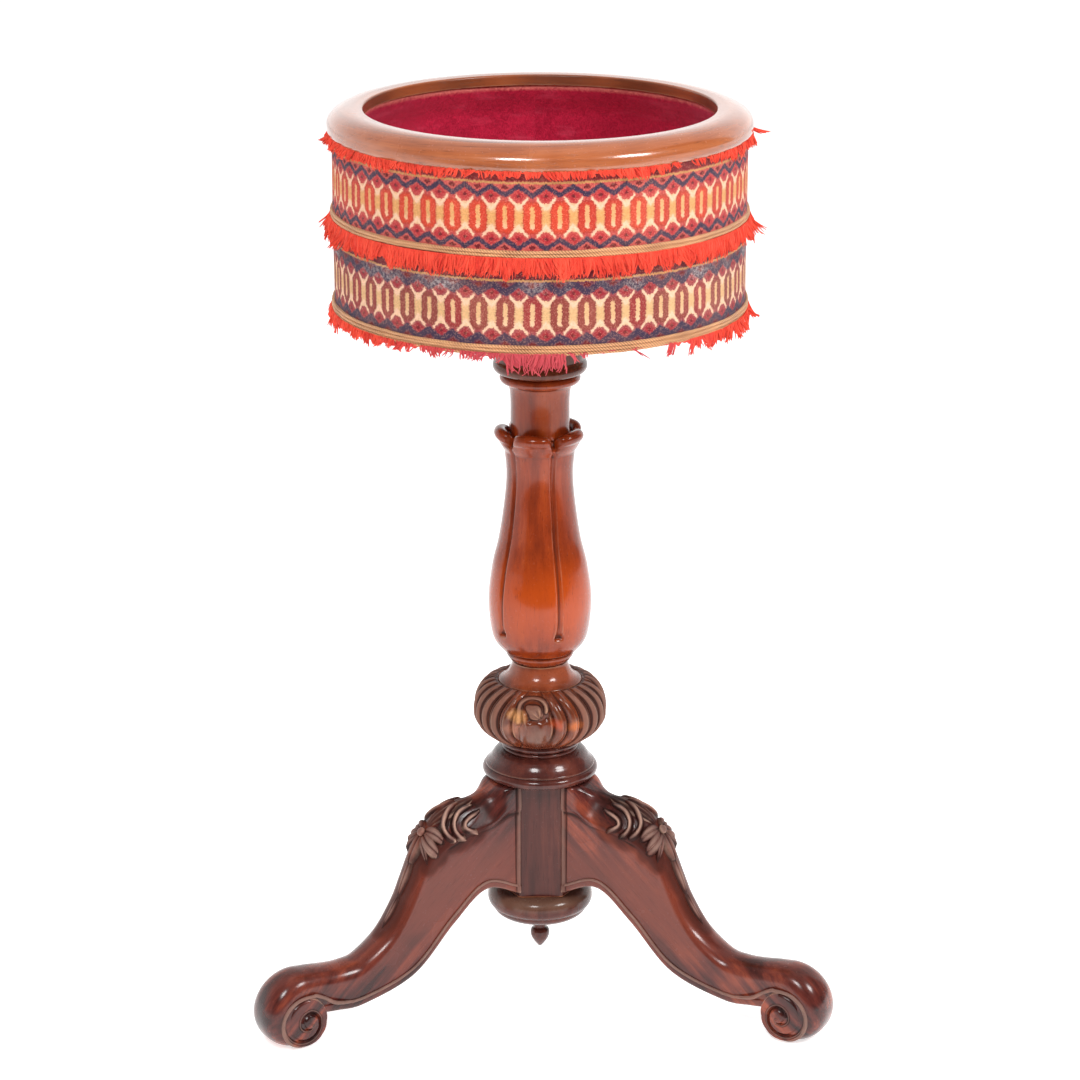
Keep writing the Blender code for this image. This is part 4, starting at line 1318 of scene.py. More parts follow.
@dataclass
class Fringe:
    """Cut wool yarn hanging round the drum in tufts."""

    name: str
    node: str
    finish: DyedWool
    top: float
    length: float
    flare: float
    strands: int
    tufts: int
    ragged: float
    lean: float
    radius: float = 0.1664
    thick: float = 0.00062
    seed: int = 3
    around: tuple[tuple[float, float, float], ...] = ((-180.0, 1.0, 1.0), (180.0, 1.0, 1.0))

    def fullness(self, turn: np.ndarray) -> tuple[np.ndarray, np.ndarray]:
        """How full the fringe still is.

        Args:
            turn: Angles round the drum.

        Returns:
            The share of yarns left there and the factor on their length.
        """
        degrees = np.degrees((turn - FRONT + math.pi) % TAU - math.pi)
        at, kept, long = np.array(self.around).T
        return np.interp(degrees, at, kept), np.interp(degrees, at, long)

    def backing(self) -> bmesh.types.BMesh:
        """The thick of the yarns behind the loose ends, with a ragged lower edge."""
        def shape(s: np.ndarray, t: np.ndarray) -> np.ndarray:
            """Places on the backing.

            Args:
                s: Shares round the drum.
                t: Shares through its section, down the outside first.

            Returns:
                The places, one row each.
            """
            turn = TAU * s
            kept, long = self.fullness(turn)
            rough = 0.08 * np.sin(61 * turn) + 0.07 * np.sin(97 * turn + 2) + 0.06 * np.sin(173 * turn + 1)
            drop = self.length * long * (0.62 * np.clip(kept * 1.5 - 0.5, 0.05, 1) + rough)
            low, inside = (t > 0.1) & (t < 0.6), (t > 0.4) & (t < 0.9)
            radius = self.radius + np.where(inside, -0.0005, 0.0004)
            return round_axis(radius, turn, self.top - drop * low)

        return tidied(gridded(721, 5, shape))

    def build(self, bench: Bench) -> bpy.types.Object:
        """Hangs the yarns.

        Args:
            bench: Where pieces are made.

        Returns:
            The fringe.
        """
        draw = np.random.default_rng(self.seed)
        count = self.strands
        turn = (np.arange(count) + draw.uniform(-0.6, 0.6, count)) * TAU / count
        tuft = np.floor(turn / TAU * self.tufts).astype(int) % self.tufts
        middle = turn + ((tuft + 0.5) * TAU / self.tufts - turn + math.pi) % TAU - math.pi
        kept, share = self.fullness(turn)
        left = np.flatnonzero((draw.uniform(0, 1, self.tufts)[tuft] * 0.7 + draw.uniform(0, 0.3, count)) < kept)
        tuft_lean = draw.normal(0, self.lean, self.tufts)[tuft]
        tuft_long = draw.uniform(1 - self.ragged, 1.05, self.tufts)[tuft]
        tuft_out = draw.gamma(2.0, 0.5, self.tufts)[tuft]
        long = self.length * share * tuft_long * draw.uniform(0.72, 1.08, count)
        out = self.flare * tuft_out * draw.uniform(0.5, 1.3, count)
        pull = draw.uniform(0.25, 0.7, count)
        sway = draw.normal(0, self.lean * 0.6, count) + tuft_lean
        curl = draw.normal(0, 0.12, (count, 2))
        layer = draw.uniform(0, 0.0011, count)
        t = np.array([0.0, 0.22, 0.48, 0.75, 1.0])
        lines, radii = [], []
        for k in left:
            bow = np.sin(np.pi * t)
            gathered = turn[k] + (middle[k] - turn[k]) * pull[k] * ease(t)
            angle = gathered + (sway[k] * t + curl[k, 0] * bow) * long[k] / self.radius
            reach = self.radius + layer[k] + 0.0007 * bow + out[k] * t**1.6
            drop = long[k] * t * (1 - 0.25 * min(1.0, out[k] / self.length) * t)
            lines.append(round_axis(reach, angle, self.top - drop))
            radii.append(self.thick * draw.uniform(0.8, 1.25) * np.array([0.9, 1.05, 1.0, 0.85, 0.45]))
        return bench.piece(self.name, joined(self.backing(), corded(self.name, lines, radii)), self.finish, [self.node])


@dataclass
class Pillar:
    """The turned pillar: a pear-shaped stem of five leaves with rolled tips, a neck and a flange."""

    leaves: int = 5
    leaf_turn: float = math.radians(-105)
    tip: float = 0.4890
    roll: float = 0.0052
    lip: float = 0.0376
    neck: float = 0.0242
    groove: float = 0.0024
    groove_half: float = 0.0023
    groove_low: float = 0.3150

    def outline(self) -> np.ndarray:
        """The half section, bottom to top."""
        foot = [(0.0130, 0.2871), (0.0222, 0.2871), (0.0232, 0.2880), (0.0255, 0.2896), (0.0274, 0.2920),
                (0.0280, 0.2940), (0.0277, 0.2956), (0.0270, 0.2961)]
        stem = through([(0.0282, 0.2966), (0.0330, 0.2996), (0.0397, 0.3118), (0.0427, 0.3407), (0.0390, 0.3705),
                        (0.0332, 0.3950), (0.0284, 0.4280), (0.0269, 0.4500), (0.0284, 0.4690)], 130)
        curl = arc((self.lip - self.roll, self.tip - self.roll), self.roll, self.roll, -62, 178, 34)
        inner = through([(self.neck + 0.0012, self.tip - 0.0085), (self.neck + 0.0002, self.tip - 0.002),
                         (self.neck, self.tip + 0.008), (self.neck, self.tip + 0.022), (self.neck + 0.0008, 0.5200),
                         (self.neck + 0.0026, 0.5250), (self.neck + 0.0040, 0.5256)], 30)
        flange = arc((0.0284, 0.5300), 0.0046, 0.0041, -84, 86, 18)
        return np.vstack([foot, stem, curl, inner, flange, [(0.0130, 0.5375)]])

    def carve(self, places: np.ndarray) -> np.ndarray:
        """Cuts the leaves into the turned shape.

        Args:
            places: Points of the turned shape.

        Returns:
            Their places after carving.
        """
        radius, turn, up = polar(places)
        step = TAU / self.leaves
        aside = (turn - self.leaf_turn + step / 2) % step - step / 2
        share = np.abs(aside) / (step / 2)
        in_roll = (radius > self.neck + 0.0016) & (up > self.tip - 0.0165) & (up < self.tip + 0.001)
        lobe = np.where(in_roll, np.sqrt(np.clip(1 - (share / 0.90) ** 2.8, 0, 1)), 1.0)
        base = self.neck + 0.0010
        into = in_roll * ease((up - self.tip + 0.0165) / 0.011)
        radius = np.where(in_roll, base + (radius - base) * (1 - 0.90 * (1 - lobe) * into), radius)
        sunk = np.clip((up - (self.tip - 0.0165)) / 0.0165, 0, 1)
        up = np.where(in_roll, up - 0.0075 * (1 - lobe) * sunk, up)
        gap = (1 - share) * (step / 2) * radius
        width = self.groove_half * (1 + 0.9 * np.exp(-((up - self.groove_low - 0.003) / 0.0045) ** 2))
        depth = self.groove * (1 + 0.7 * np.exp(-((up - self.groove_low - 0.003) / 0.0045) ** 2))
        cut = depth * np.clip(1 - (gap / width) ** 2, 0, 1) ** 0.8
        zone = ease((up - self.groove_low) / 0.003) * ease((self.tip - 0.004 - up) / 0.006)
        crown = 0.0007 * (1 - share**2) * ease((up - 0.33) / 0.06) * ease((self.tip - up) / 0.02)
        radius = radius - cut * zone * (1 - 0.7 * into) + crown * (1 - into)
        return round_axis(radius, turn, up)

    def build(self, bench: Bench) -> None:
        """Turns and carves the pillar.

        Args:
            bench: Where pieces are made.
        """
        bm = pulled(turned(self.outline(), 260, 0.0017), self.carve)
        bench.piece("pillar_stem", bm, MAHOGANY_PILLAR, ["pillar"], sharp=60, wear_steps=5)


@dataclass
class Knop:
    """The carved bun under the pillar: bowed ribs about a curled leaf, before and behind, under a smooth bell."""

    bottom: float = 0.2203
    top: float = 0.2868
    radius: float = 0.0556
    leaves: int = 2
    aside: float = -0.15
    hood: float = 0.2605
    hood_radius: float = 0.0525
    spacing: float = 13.0
    relief: float = 0.0042

    def outline(self) -> np.ndarray:
        """The half section, bottom to top."""
        bun = through([(0.0335, self.bottom + 0.0003), (0.0416, 0.2226), (0.0502, 0.2296), (0.0546, 0.2370),
                       (self.radius, 0.2440), (0.0549, 0.2522), (0.0522, 0.2604), (0.0472, 0.2672), (0.0412, 0.2706),
                       (0.0364, 0.2708), (0.0346, 0.2694)], 120)
        bell = through([(0.0342, 0.2694), (0.0347, 0.2703), (0.0338, 0.2712), (0.0300, 0.2734), (0.0268, 0.2768),
                        (0.0246, 0.2812), (0.0234, 0.2846), (0.0230, self.top)], 30)
        return np.vstack([[(0.0133, self.bottom)], bun, bell, [(0.0133, self.top)]])

    def relief_at(self, places: np.ndarray) -> tuple[np.ndarray, np.ndarray]:
        """Bowed ribs, and the curled leaf in their midst, on the bun.

        Args:
            places: Points of the turned shape.

        Returns:
            How deep each point is cut, in metres, and its carved share: low in the grooves and the leaf's hollow, which
            are painted in shade, and high on the ribs at the sides, which are painted grey for their sheen and dulled.
        """
        radius, turn, up = polar(places)
        leaf = TAU / self.leaves
        side = (turn - FRONT - self.aside + leaf / 2) % leaf - leaf / 2
        x = side * radius / MM
        inwards = np.maximum(self.hood_radius - radius, 0) / MM * (up > self.hood)
        over = np.maximum(up - self.hood, 0) / MM + 0.8 * inwards
        below = np.maximum(self.hood - up, 0) / MM
        bow = np.maximum(11.0 - 11.0 * ((up - 0.2455) / 0.0245) ** 2, -4.0)
        phase = (np.degrees(np.abs(side)) - bow - 9.0) / self.spacing
        saw = phase - np.floor(phase)
        ribs = 0.05 + 0.95 * (1 - np.abs(2 * saw - 1) ** 2.2) - 0.3 * np.exp(-(((saw - 0.70) / 0.08) ** 2))
        arch = np.hypot(x, over * 0.85)
        heart = ease((16.5 - np.where(below > 0, np.abs(x), arch)) / 4.5)
        loop = np.exp(-(((arch - 12.0) / 2.8) ** 2)) * ease((13 - below - 0.4 * x) / 9)
        rise = over - below
        veins = 0.16 * np.cos(np.arctan2(rise + 7.0, 7.0 - x) * 9.0)
        curl = (1.0 + veins) * np.exp(-(np.hypot((x - 1.5) / 9.0, (rise + 0.5 + 0.25 * x) / 8.0) ** 4))
        flame = 0.9 * np.exp(-(((x + 8.0 - 0.25 * below) / 3.0) ** 2)) * ease((below + 2) / 6) * ease((24 - below) / 8)
        folds = 0.78 + 0.14 * np.cos((x - 2.0 + 0.35 * below) / 2.2)
        lobe = folds * np.clip(1.15 - ((x - 2.0) / 13.0) ** 2, 0, 1) * ease((below - 6) / 6)
        motif = np.maximum.reduce([loop, curl, flame, lobe])
        height = ribs * (1 - heart) + motif * heart
        edge = ease((radius - 0.0352) / 0.004) * ease((up - self.bottom) / 0.003)
        # Ribs round the sides are painted grey and dulled, standing for the sheen seen there; the grooves between ribs
        # and the leaf's hollow get a low share, painted in shade.
        dull = np.where(np.floor(phase) >= np.where(side > 0, 2, 1), 0.62, 0.0)
        ridge = ease((ribs - 0.35) / 0.4)
        ribbed = 0.09 * (1 - ridge) + dull * ridge
        tips = np.maximum(ease((loop - 0.35) / 0.4), 0.95 * ease((curl - 0.45) / 0.3))
        leafy = np.maximum(0.66 * tips, 0.05 * ease((13.0 - arch) / 2) * ease((6 - below) / 5))
        pale = (ribbed * (1 - heart) + leafy * heart) * edge
        return self.relief * (1 - height) * edge, pale

    def carve(self, places: np.ndarray) -> np.ndarray:
        """Cuts the ribs and the leaf into the turned shape.

        Args:
            places: Points of the turned shape.

        Returns:
            Their places after carving.
        """
        radius = np.hypot(places[:, 0], places[:, 1])
        share = (radius - self.relief_at(places)[0]) / np.maximum(radius, 1e-9)
        return places * np.stack([share, share, np.ones_like(share)], 1)

    def build(self, bench: Bench) -> None:
        """Turns and carves the knop.

        Args:
            bench: Where pieces are made.
        """
        bm = turned(self.outline(), 400, 0.0010)
        pale = self.relief_at(np.array([vert.co for vert in bm.verts]))[1]
        bm = pulled(marked(bm, 1.0, pale), self.carve)
        bench.piece("knop", bm, MAHOGANY_KNOP, ["carved_knop"], sharp=70, wear_steps=7)


@dataclass
class TurnedBase:
    """The turned pieces of the base and the drum's collar."""

    steps: int = 200

    def ring(self) -> np.ndarray:
        """The moulding between the knop and the leg block."""
        return np.vstack([
            [(0.0133, 0.2200), (0.0305, 0.2200)],
            arc((0.0304, 0.2169), 0.0036, 0.0031, 84, -84, 14),
            [(0.0298, 0.2132)],
            arc((0.0300, 0.2114), 0.0017, 0.0016, 70, -80, 8),
            through([(0.0304, 0.2097), (0.0336, 0.2092), (0.0370, 0.2077), (0.0396, 0.2049), (0.0414, 0.2021),
                     (0.0436, 0.1995), (0.0456, 0.1976)], 26),
            [(0.0456, 0.1966)],
            arc((0.0441, 0.1919), 0.0042, 0.0044, 78, -86, 16),
            [(0.0436, 0.1874), (0.0133, 0.1874)],
        ])

    def boss(self) -> np.ndarray:
        """The bun under the leg block."""
        return np.vstack([
            [(0.0040, 0.0847), (0.0374, 0.0847)],
            arc((0.0376, 0.0757), 0.0068, 0.0088, 84, -48, 18),
            [(0.0414, 0.0686), (0.0405, 0.0680)],
            arc((0.0270, 0.0682), 0.0132, 0.0088, -4, -86, 16),
            [(0.0190, 0.0593), (0.0040, 0.0593)],
        ])

    def pendant(self) -> np.ndarray:
        """The small turned drop at the very bottom."""
        return np.vstack([
            [(0.0, 0.0592), (0.0070, 0.0592), (0.0068, 0.0572), (0.0054, 0.0556)],
            through([(0.0051, 0.0540), (0.0050, 0.0470), (0.0054, 0.0445)], 8),
            [(0.0070, 0.0436)],
            through([(0.0079, 0.0418), (0.0080, 0.0390), (0.0070, 0.0352), (0.0046, 0.0312), (0.0016, 0.0275)], 16),
            [(0.0, 0.0270)],
        ])

    def collar(self) -> np.ndarray:
        """The collar between the pillar and the bearer."""
        return np.vstack([
            [(0.0133, 0.5379), (0.0250, 0.5352), (0.0300, 0.5347)],
            through([(0.0304, 0.5347), (0.0345, 0.5352), (0.0370, 0.5366), (0.0382, 0.5388), (0.0384, 0.5410),
                     (0.0378, 0.5434), (0.0364, 0.5454)], 26),
            [(0.0360, 0.5462), (0.0360, 0.5676), (0.0133, 0.5676)],
        ])

    def build(self, bench: Bench) -> None:
        """Turns the four pieces.

        Args:
            bench: Where pieces are made.
        """
        parts = [("base_moulding", self.ring(), "base_ring", MAHOGANY_BASE),
                 ("bun", self.boss(), "base_boss", MAHOGANY_BOSS),
                 ("pendant", self.pendant(), "pendant_finial", MAHOGANY_BASE),
                 ("collar", self.collar(), "pillar_collar", SHADED_COLLAR_MAHOGANY)]
        for name, outline, node, finish in parts:
            bench.piece(name, turned(outline, self.steps), finish, [node], sharp=55, wear_steps=4)


@dataclass
class Block:
    """The six-sided block that the legs are let into."""

    apothem: float = 0.0312
    crisp: float = 70.0
    bottom: float = 0.0851
    top: float = 0.1869

    def build(self, bench: Bench) -> None:
        """Makes the prism with eased, rubbed edges.

        Args:
            bench: Where pieces are made.
        """
        faces = np.radians(np.arange(6) * 60 + 30)

        def shape(s: np.ndarray, t: np.ndarray) -> np.ndarray:
            """Places on the prism.

            Args:
                s: Shares round it.
                t: Shares up it.

            Returns:
                The places, one row each.
            """
            turn = TAU * s
            facing = np.maximum(np.cos(turn[:, None] - faces[None, :]), 0)
            radius = self.apothem / (facing**self.crisp).sum(axis=1) ** (1 / self.crisp)
            up = self.bottom + (self.top - self.bottom) * t
            return round_axis(radius, turn, up)

        bench.piece("block", tidied(gridded(289, 80, shape)), MAHOGANY_BLOCK, ["leg_block"], sharp=60, wear_steps=6)


class Cut(Enum):
    """The cross-sections a carver gives a leaf."""

    PETAL = "raised edges about a hollow with a midrib"
    LOBE = "one rolled edge falling to a hollow"
    BLADE = "low and finely veined"
    BED = "the sunk ground under the lobes"

    def lift(self, side: np.ndarray) -> np.ndarray:
        """Height across the leaf.

        Args:
            side: From one edge at -1 to the other at 1.

        Returns:
            The height, 0 to about 1.
        """
        if self is Cut.PETAL:
            return 0.62 + 0.38 * (1 - side**2) + 0.12 * np.abs(side) - 0.22 * np.exp(-((side / 0.14) ** 2))
        if self is Cut.LOBE:
            return 0.1 + 0.95 * np.exp(-(((side - 0.1) / 0.58) ** 2))
        if self is Cut.BLADE:
            return 0.62 + 0.3 * np.abs(np.cos(2.5 * math.pi * side)) + 0.15 * np.abs(side)
        return np.full_like(side, 0.9)


@dataclass(frozen=True)
class Leaf:
    """One carved leaf on the knee: its middle line in runs along and round the knee, in millimetres, and its size."""

    line: tuple[tuple[float, float], ...]
    width: float
    height: float
    cut: Cut
    blunt: float = 0.75
    mirrored: bool = True
    tone: float = 0.72


KNEE: tuple[Leaf, ...] = (
    Leaf(((-52.0, 0.0), (-30.0, 0.0), (0.0, 0.0)), 26.0, 1.7, Cut.BLADE, 0.9, False, 0.72),
    Leaf(((-52.0, 14.0), (-38.0, 16.0), (-26.0, 19.0), (-12.0, 24.0)), 26.0, 0.9, Cut.BED, 0.9, True, 0.2),
    Leaf(((-50.0, 15.0), (-44.0, 16.8), (-38.0, 18.2), (-32.4, 20.5), (-30.5, 24.5), (-33.5, 28.5), (-38.0, 31.4),
          (-41.6, 34.0)), 8.0, 4.4, Cut.LOBE, 0.5, True, 1.0),
    Leaf(((-45.0, 9.0), (-40.0, 9.4), (-34.5, 9.8), (-28.7, 11.3), (-23.0, 15.5), (-21.0, 20.4), (-21.5, 25.0),
          (-24.0, 30.0), (-29.2, 35.0)), 8.4, 4.8, Cut.LOBE, 0.5, True, 1.0),
    Leaf(((-36.0, 2.0), (-26.0, 4.0), (-19.6, 7.0), (-14.0, 11.0), (-12.0, 15.0), (-12.5, 19.5), (-14.5, 24.0),
          (-19.0, 30.5)), 8.4, 4.8, Cut.LOBE, 0.5, True, 1.0),
    Leaf(((4.0, 0.0), (18.0, 0.0), (36.0, 0.0)), 16.0, 4.6, Cut.PETAL, 0.75, False),
    Leaf(((5.0, 1.5), (12.0, 10.0), (19.0, 20.0)), 10.0, 4.4, Cut.PETAL),
    Leaf(((4.0, 2.0), (6.5, 14.0), (2.0, 28.0)), 15.0, 5.4, Cut.PETAL, 0.75, True, 0.8),
    Leaf(((2.0, 2.0), (-3.0, 13.0), (-8.0, 25.0)), 12.0, 4.8, Cut.PETAL, 0.75, True, 0.8),
    Leaf(((26.0, 0.0), (44.0, 0.0), (66.0, 0.0)), 11.0, 3.4, Cut.PETAL, 0.6, False, 0.9),
    Leaf(((60.0, 0.0), (74.0, 0.0), (92.0, 0.0)), 8.0, 2.6, Cut.PETAL, 0.6, False, 0.9),
)


@dataclass
class Leg:
    """A cabriole leg: flat sides with a bead along the lower edge, a leaf-carved knee and a scrolled foot."""

    crest: tuple[tuple[float, float], ...] = (
        (31.4, 187.0), (42.0, 187.1), (47.5, 185.4), (52.5, 182.4), (57.5, 180.0), (63.5, 178.3), (71.0, 177.0),
        (81.0, 175.8), (92.0, 172.6), (104.0, 165.6), (114.0, 154.0), (122.0, 139.0), (130.0, 120.0), (138.8, 100.9),
        (154.0, 79.0), (176.0, 62.6), (192.0, 59.4), (207.0, 59.8), (220.0, 61.2), (233.0, 62.0))
    under: tuple[tuple[float, float], ...] = (
        (31.4, 90.0), (64.3, 101.0), (95.3, 77.0), (133.0, 39.5), (180.0, 24.0), (207.0, 24.5), (233.0, 28.0))
    eye: tuple[float, float] = (233.0, 20.0)
    thick: float = 40.0
    ankle: float = 33.5
    toe: float = 40.5
    fascia: float = 6.4
    proud: float = 0.8
    disc_half: float = 22.0
    stations: int = 130
    fan: int = 64
    flower: float = 111.0
    cap_depth: tuple[float, ...] = (0.0, 0.6, 2.0, 5.0, 9.0, 13.0, 16.5, 19.0, 20.5, 21.8, 22.8, 24.0)
    square_half: tuple[float, ...] = (17.5, 19.6, 20.8, 21.2, 21.4, 21.5, 21.6, 21.6, 21.5, 21.1, 20.3, 20.0)
    cap_half: tuple[float, ...] = (0.0, 4.5, 8.0, 11.4, 14.4, 17.0, 19.4, 21.0, 21.5, 21.1, 20.3, 20.0)
    angles: tuple[tuple[str, float], ...] = (("leg_rear", 90.0), ("leg_front_left", 210.0), ("leg_front_right", 330.0))
    rows: list[np.ndarray] = field(default_factory=list)

    def toe_reach(self, turn: np.ndarray) -> np.ndarray:
        """Eye to the outside of the toe, in millimetres, at an angle in degrees."""
        return np.interp(turn, [-180, -140, -110, -90, -60, -30, 0, 30, 60, 75, 90],
                         [16.5, 17.4, 19.2, 19.6, 22.8, 31.0, 36.4, 40.0, 42.0, 42.3, 42.0])

    def spine(self) -> tuple[np.ndarray, np.ndarray, np.ndarray]:
        """The sections' inner and outer points and their widths.

        Returns:
            Inner points, outer points and full widths, a row for each section, in millimetres.
        """
        outer, inner = through(self.crest, self.stations), through(self.under, self.stations)
        share = np.linspace(0, 1, self.stations)
        width = self.thick + (self.ankle - self.thick) * ease(share / 0.82)
        width = width + (self.toe - self.ankle) * ease((share - 0.84) / 0.3)
        turn = np.linspace(90, -128, self.fan + 1)[1:]
        radians = np.radians(turn)
        aim = np.stack([np.cos(radians), np.sin(radians)], 1)
        reach = np.convolve(np.pad(self.toe_reach(turn), 6, mode="edge"), np.ones(13) / 13, mode="valid")[:, None]
        hub = np.interp(turn, [-128, 45, 90], [2.0, 3.0, 8.0])[:, None]
        eye = np.array(self.eye)
        toe_width = np.interp(turn, [-128, -90, -40, 20, 90], [30.0, 34.0, 41.5, 43.5, width[-1]])
        inner, outer = np.vstack([inner, eye + aim * hub]), np.vstack([outer, eye + aim * reach])
        return inner, outer, np.concatenate([width, toe_width])

    def half_section(self, i: int, inner: np.ndarray, outer: np.ndarray, width: float) -> np.ndarray:
        """Half of one section, from the middle of its underside up to the crest.

        Args:
            i: The section's number.
            inner: Its lowest point in the leg's plane.
            outer: Its highest point in the leg's plane.
            width: Its full width.

        Returns:
            Points in the leg's own axes, in millimetres.
        """
        tall = float(np.linalg.norm(outer - inner))
        in_fan = float(ease((i - self.stations + 18) / 22))
        step, half = self.proud * (1 - in_fan), width / 2
        fascia = min(self.fascia, tall * 0.4)
        capped = float(1 - ease((i / self.stations - 0.22) / 0.16))
        deep = capped * self.cap_depth[-1] + (1 - capped) * min(width * 0.46, tall * 0.55)
        side_top = max(tall - deep, fascia + 2.6)
        bottom = np.stack([np.linspace(0, half + step - 0.8, 6), np.zeros(6)], 1)
        face = np.array([(half + step, 0.8), (half + step, fascia * 0.5), (half + step, fascia - 0.6),
                         (half + step - 0.35, fascia), (half, fascia + 0.25), (half - 0.05, fascia + 1.2)])
        side = np.stack([np.full(14, half), np.linspace(fascia + 2.4, side_top, 14)], 1)
        turn = np.radians(np.linspace(0, 90, 30)[1:])
        fullness = 0.92 - 0.12 * in_fan
        rise = np.sin(turn) ** fullness
        squared = float(1 - ease((i / self.stations - 0.02) / 0.11))
        width_down = squared * np.array(self.square_half) + (1 - squared) * np.array(self.cap_half)
        cap = np.interp((tall - side_top) * (1 - rise), self.cap_depth, width_down) * half / self.cap_half[-1]
        over = capped * cap + (1 - capped) * half * np.cos(turn).clip(0) ** fullness
        top = np.stack([over, side_top + (tall - side_top) * rise], 1)
        crown = np.stack([over[-1] * np.linspace(0.8, 0, 5), np.full(5, tall)], 1)
        points = np.vstack([bottom, face, side, top, crown])
        plane = inner + points[:, 1:] * (outer - inner) / tall
        plane[:, 1] = np.maximum(plane[:, 1], 0.2)
        return np.column_stack([plane[:, 0], points[:, 0], plane[:, 1]])

    def body(self) -> bmesh.types.BMesh:
        """The leg from its shoulder round the toe, its half sections kept for the carving."""
        self.rows = [self.half_section(i, *parts) for i, parts in enumerate(zip(*self.spine()))]
        grid = np.array([np.vstack([half, half[::-1][1:] * np.array([1, -1, 1])]) for half in self.rows]) * MM
        rows, columns = grid.shape[:2]

        def shape(s: np.ndarray, t: np.ndarray) -> np.ndarray:
            """Places on the leg from shares along it and round its section."""
            return grid[np.rint(s * (rows - 1)).astype(int), np.rint(t * (columns - 1)).astype(int)]

        return tidied(gridded(rows, columns, shape))

    def surface(self) -> Callable[[np.ndarray, np.ndarray], tuple[np.ndarray, np.ndarray]]:
        """A chart of the knee: places and outward directions from runs along and round it.

        Returns:
            A function of the run along the crest from the flower and the run round from the crest, in millimetres.
        """
        crest = np.array([half[-1] for half in self.rows[: self.stations]])
        run = run_along(crest)
        run -= np.interp(self.flower, crest[:, 0], run)
        around, even = np.arange(0.0, 56.0), np.arange(run[0], run[-1])
        sides = []
        for half in self.rows[: self.stations]:
            down = half[::-1]
            along = run_along(down)
            sides.append(np.stack([np.interp(around, along, down[:, k]) for k in range(3)], 1))
        chart = np.array(sides)
        chart = np.array([[np.interp(even, run, chart[:, j, k]) for k in range(3)] for j in range(len(around))])
        chart = chart.transpose(2, 0, 1)
        chart = np.concatenate([chart[:, :0:-1] * np.array([1, -1, 1]), chart], axis=1)
        out = np.cross(np.gradient(chart, axis=1), np.gradient(chart, axis=0))
        out /= np.linalg.norm(out, axis=2, keepdims=True) + 1e-12
        out *= np.sign(out[:, len(around) - 1, 2].mean())

        def read(table: np.ndarray, a: np.ndarray, b: np.ndarray) -> np.ndarray:
            """Reads a table between its entries.

            Args:
                table: What is read.
                a: Runs along the crest.
                b: Runs round from the crest.

            Returns:
                The entries, one row each.
            """
            x = np.clip(a - even[0], 0, len(even) - 1.001)
            y = np.clip(b + around[-1], 0, table.shape[1] - 1.001)
            i, j = x.astype(int), y.astype(int)
            p, q = (x - i)[:, None], (y - j)[:, None]
            low = table[i, j] * (1 - q) + table[i, j + 1] * q
            high = table[i + 1, j] * (1 - q) + table[i + 1, j + 1] * q
            return low * (1 - p) + high * p

        return lambda a, b: (read(chart, a, b), read(out, a, b))

    def carved_leaf(self, chart: Callable, leaf: Leaf, side: int) -> bmesh.types.BMesh:
        """A leaf laid on the knee.

        Args:
            chart: The knee's surface.
            leaf: What is carved.
            side: 1 for the right of the crest, -1 for the left.

        Returns:
            The shape.
        """
        rows, columns = 30, 17
        middle = through(leaf.line, rows) * np.array([1, side])
        along = np.gradient(middle, axis=0)
        along /= np.linalg.norm(along, axis=1, keepdims=True)
        across = np.stack([-along[:, 1], along[:, 0]], 1) * side

        def shape(s: np.ndarray, t: np.ndarray) -> np.ndarray:
            """Places on the leaf; keeps how proud each one stands.

            Args:
                s: Shares along it.
                t: Shares across it.

            Returns:
                The places, one row each.
            """
            k = np.rint(s * (rows - 1)).astype(int)
            edge_to_edge = 2 * t - 1
            spread = np.sin(np.pi * np.clip(s, 0.02, 0.985) ** leaf.blunt) ** 0.7
            if leaf.cut is Cut.LOBE:
                spread = np.clip(np.minimum(s / 0.18, (1 - s) / 0.1) + 0.03, 0, 1) ** 0.5
            flat = middle[k] + across[k] * (edge_to_edge * spread * leaf.width / 2)[:, None]
            place, out = chart(flat[:, 0], flat[:, 1])
            fall = np.clip(1 - np.abs(edge_to_edge) ** 6, 0, 1)
            swell = (0.6 + 0.4 * np.sin(np.pi * s)) * np.clip(spread * 1.7, 0, 1)
            lift = leaf.height * leaf.cut.lift(edge_to_edge) * swell * fall - 0.7 * (1 - fall) - 0.5
            proud.append(lift / leaf.height)
            return (place + out * lift[:, None]) * MM

        proud: list[np.ndarray] = []
        bm = gridded(rows, columns, shape)
        bmesh.ops.recalc_face_normals(bm, faces=bm.faces)
        # Low parts of a leaf get a small share, painted in shade; crests a high one, worn pale.
        return marked(bm, 1.0, np.clip((proud[0] - 0.15) / 0.85, 0.2, 1.0) * leaf.tone)

    def carving(self) -> list[bmesh.types.BMesh]:
        """The flower, its petals, the curled lobes behind it and the husks that hang from it."""
        chart = self.surface()
        parts = []
        for leaf in KNEE:
            for side in (1, -1) if leaf.mirrored else (1,):
                parts.append(self.carved_leaf(chart, leaf, side))
        parts.append(self.button(chart, 3.5, 0.0, 3.8, 3.0))
        return parts

    def button(self, chart: Callable, a: float, b: float, radius: float, lift: float) -> bmesh.types.BMesh:
        """A small dome on the knee.

        Args:
            chart: The knee's surface.
            a: Its run along the crest.
            b: Its run round the knee.
            radius: Its radius in millimetres.
            lift: How far its middle stands off.

        Returns:
            The shape.
        """
        place, out = chart(np.array([a]), np.array([b]))
        dome = bmesh.new()
        spot = Matrix.Translation(Vector((place[0] + out[0] * lift) * MM))
        turn = Vector(out[0]).to_track_quat("Z", "Y").to_matrix().to_4x4()
        bmesh.ops.create_uvsphere(dome, u_segments=20, v_segments=12, radius=radius * MM,
                                  matrix=spot @ turn @ Matrix.Diagonal((1, 1, 0.75, 1)))
        return marked(dome, 1.0, 0.6)

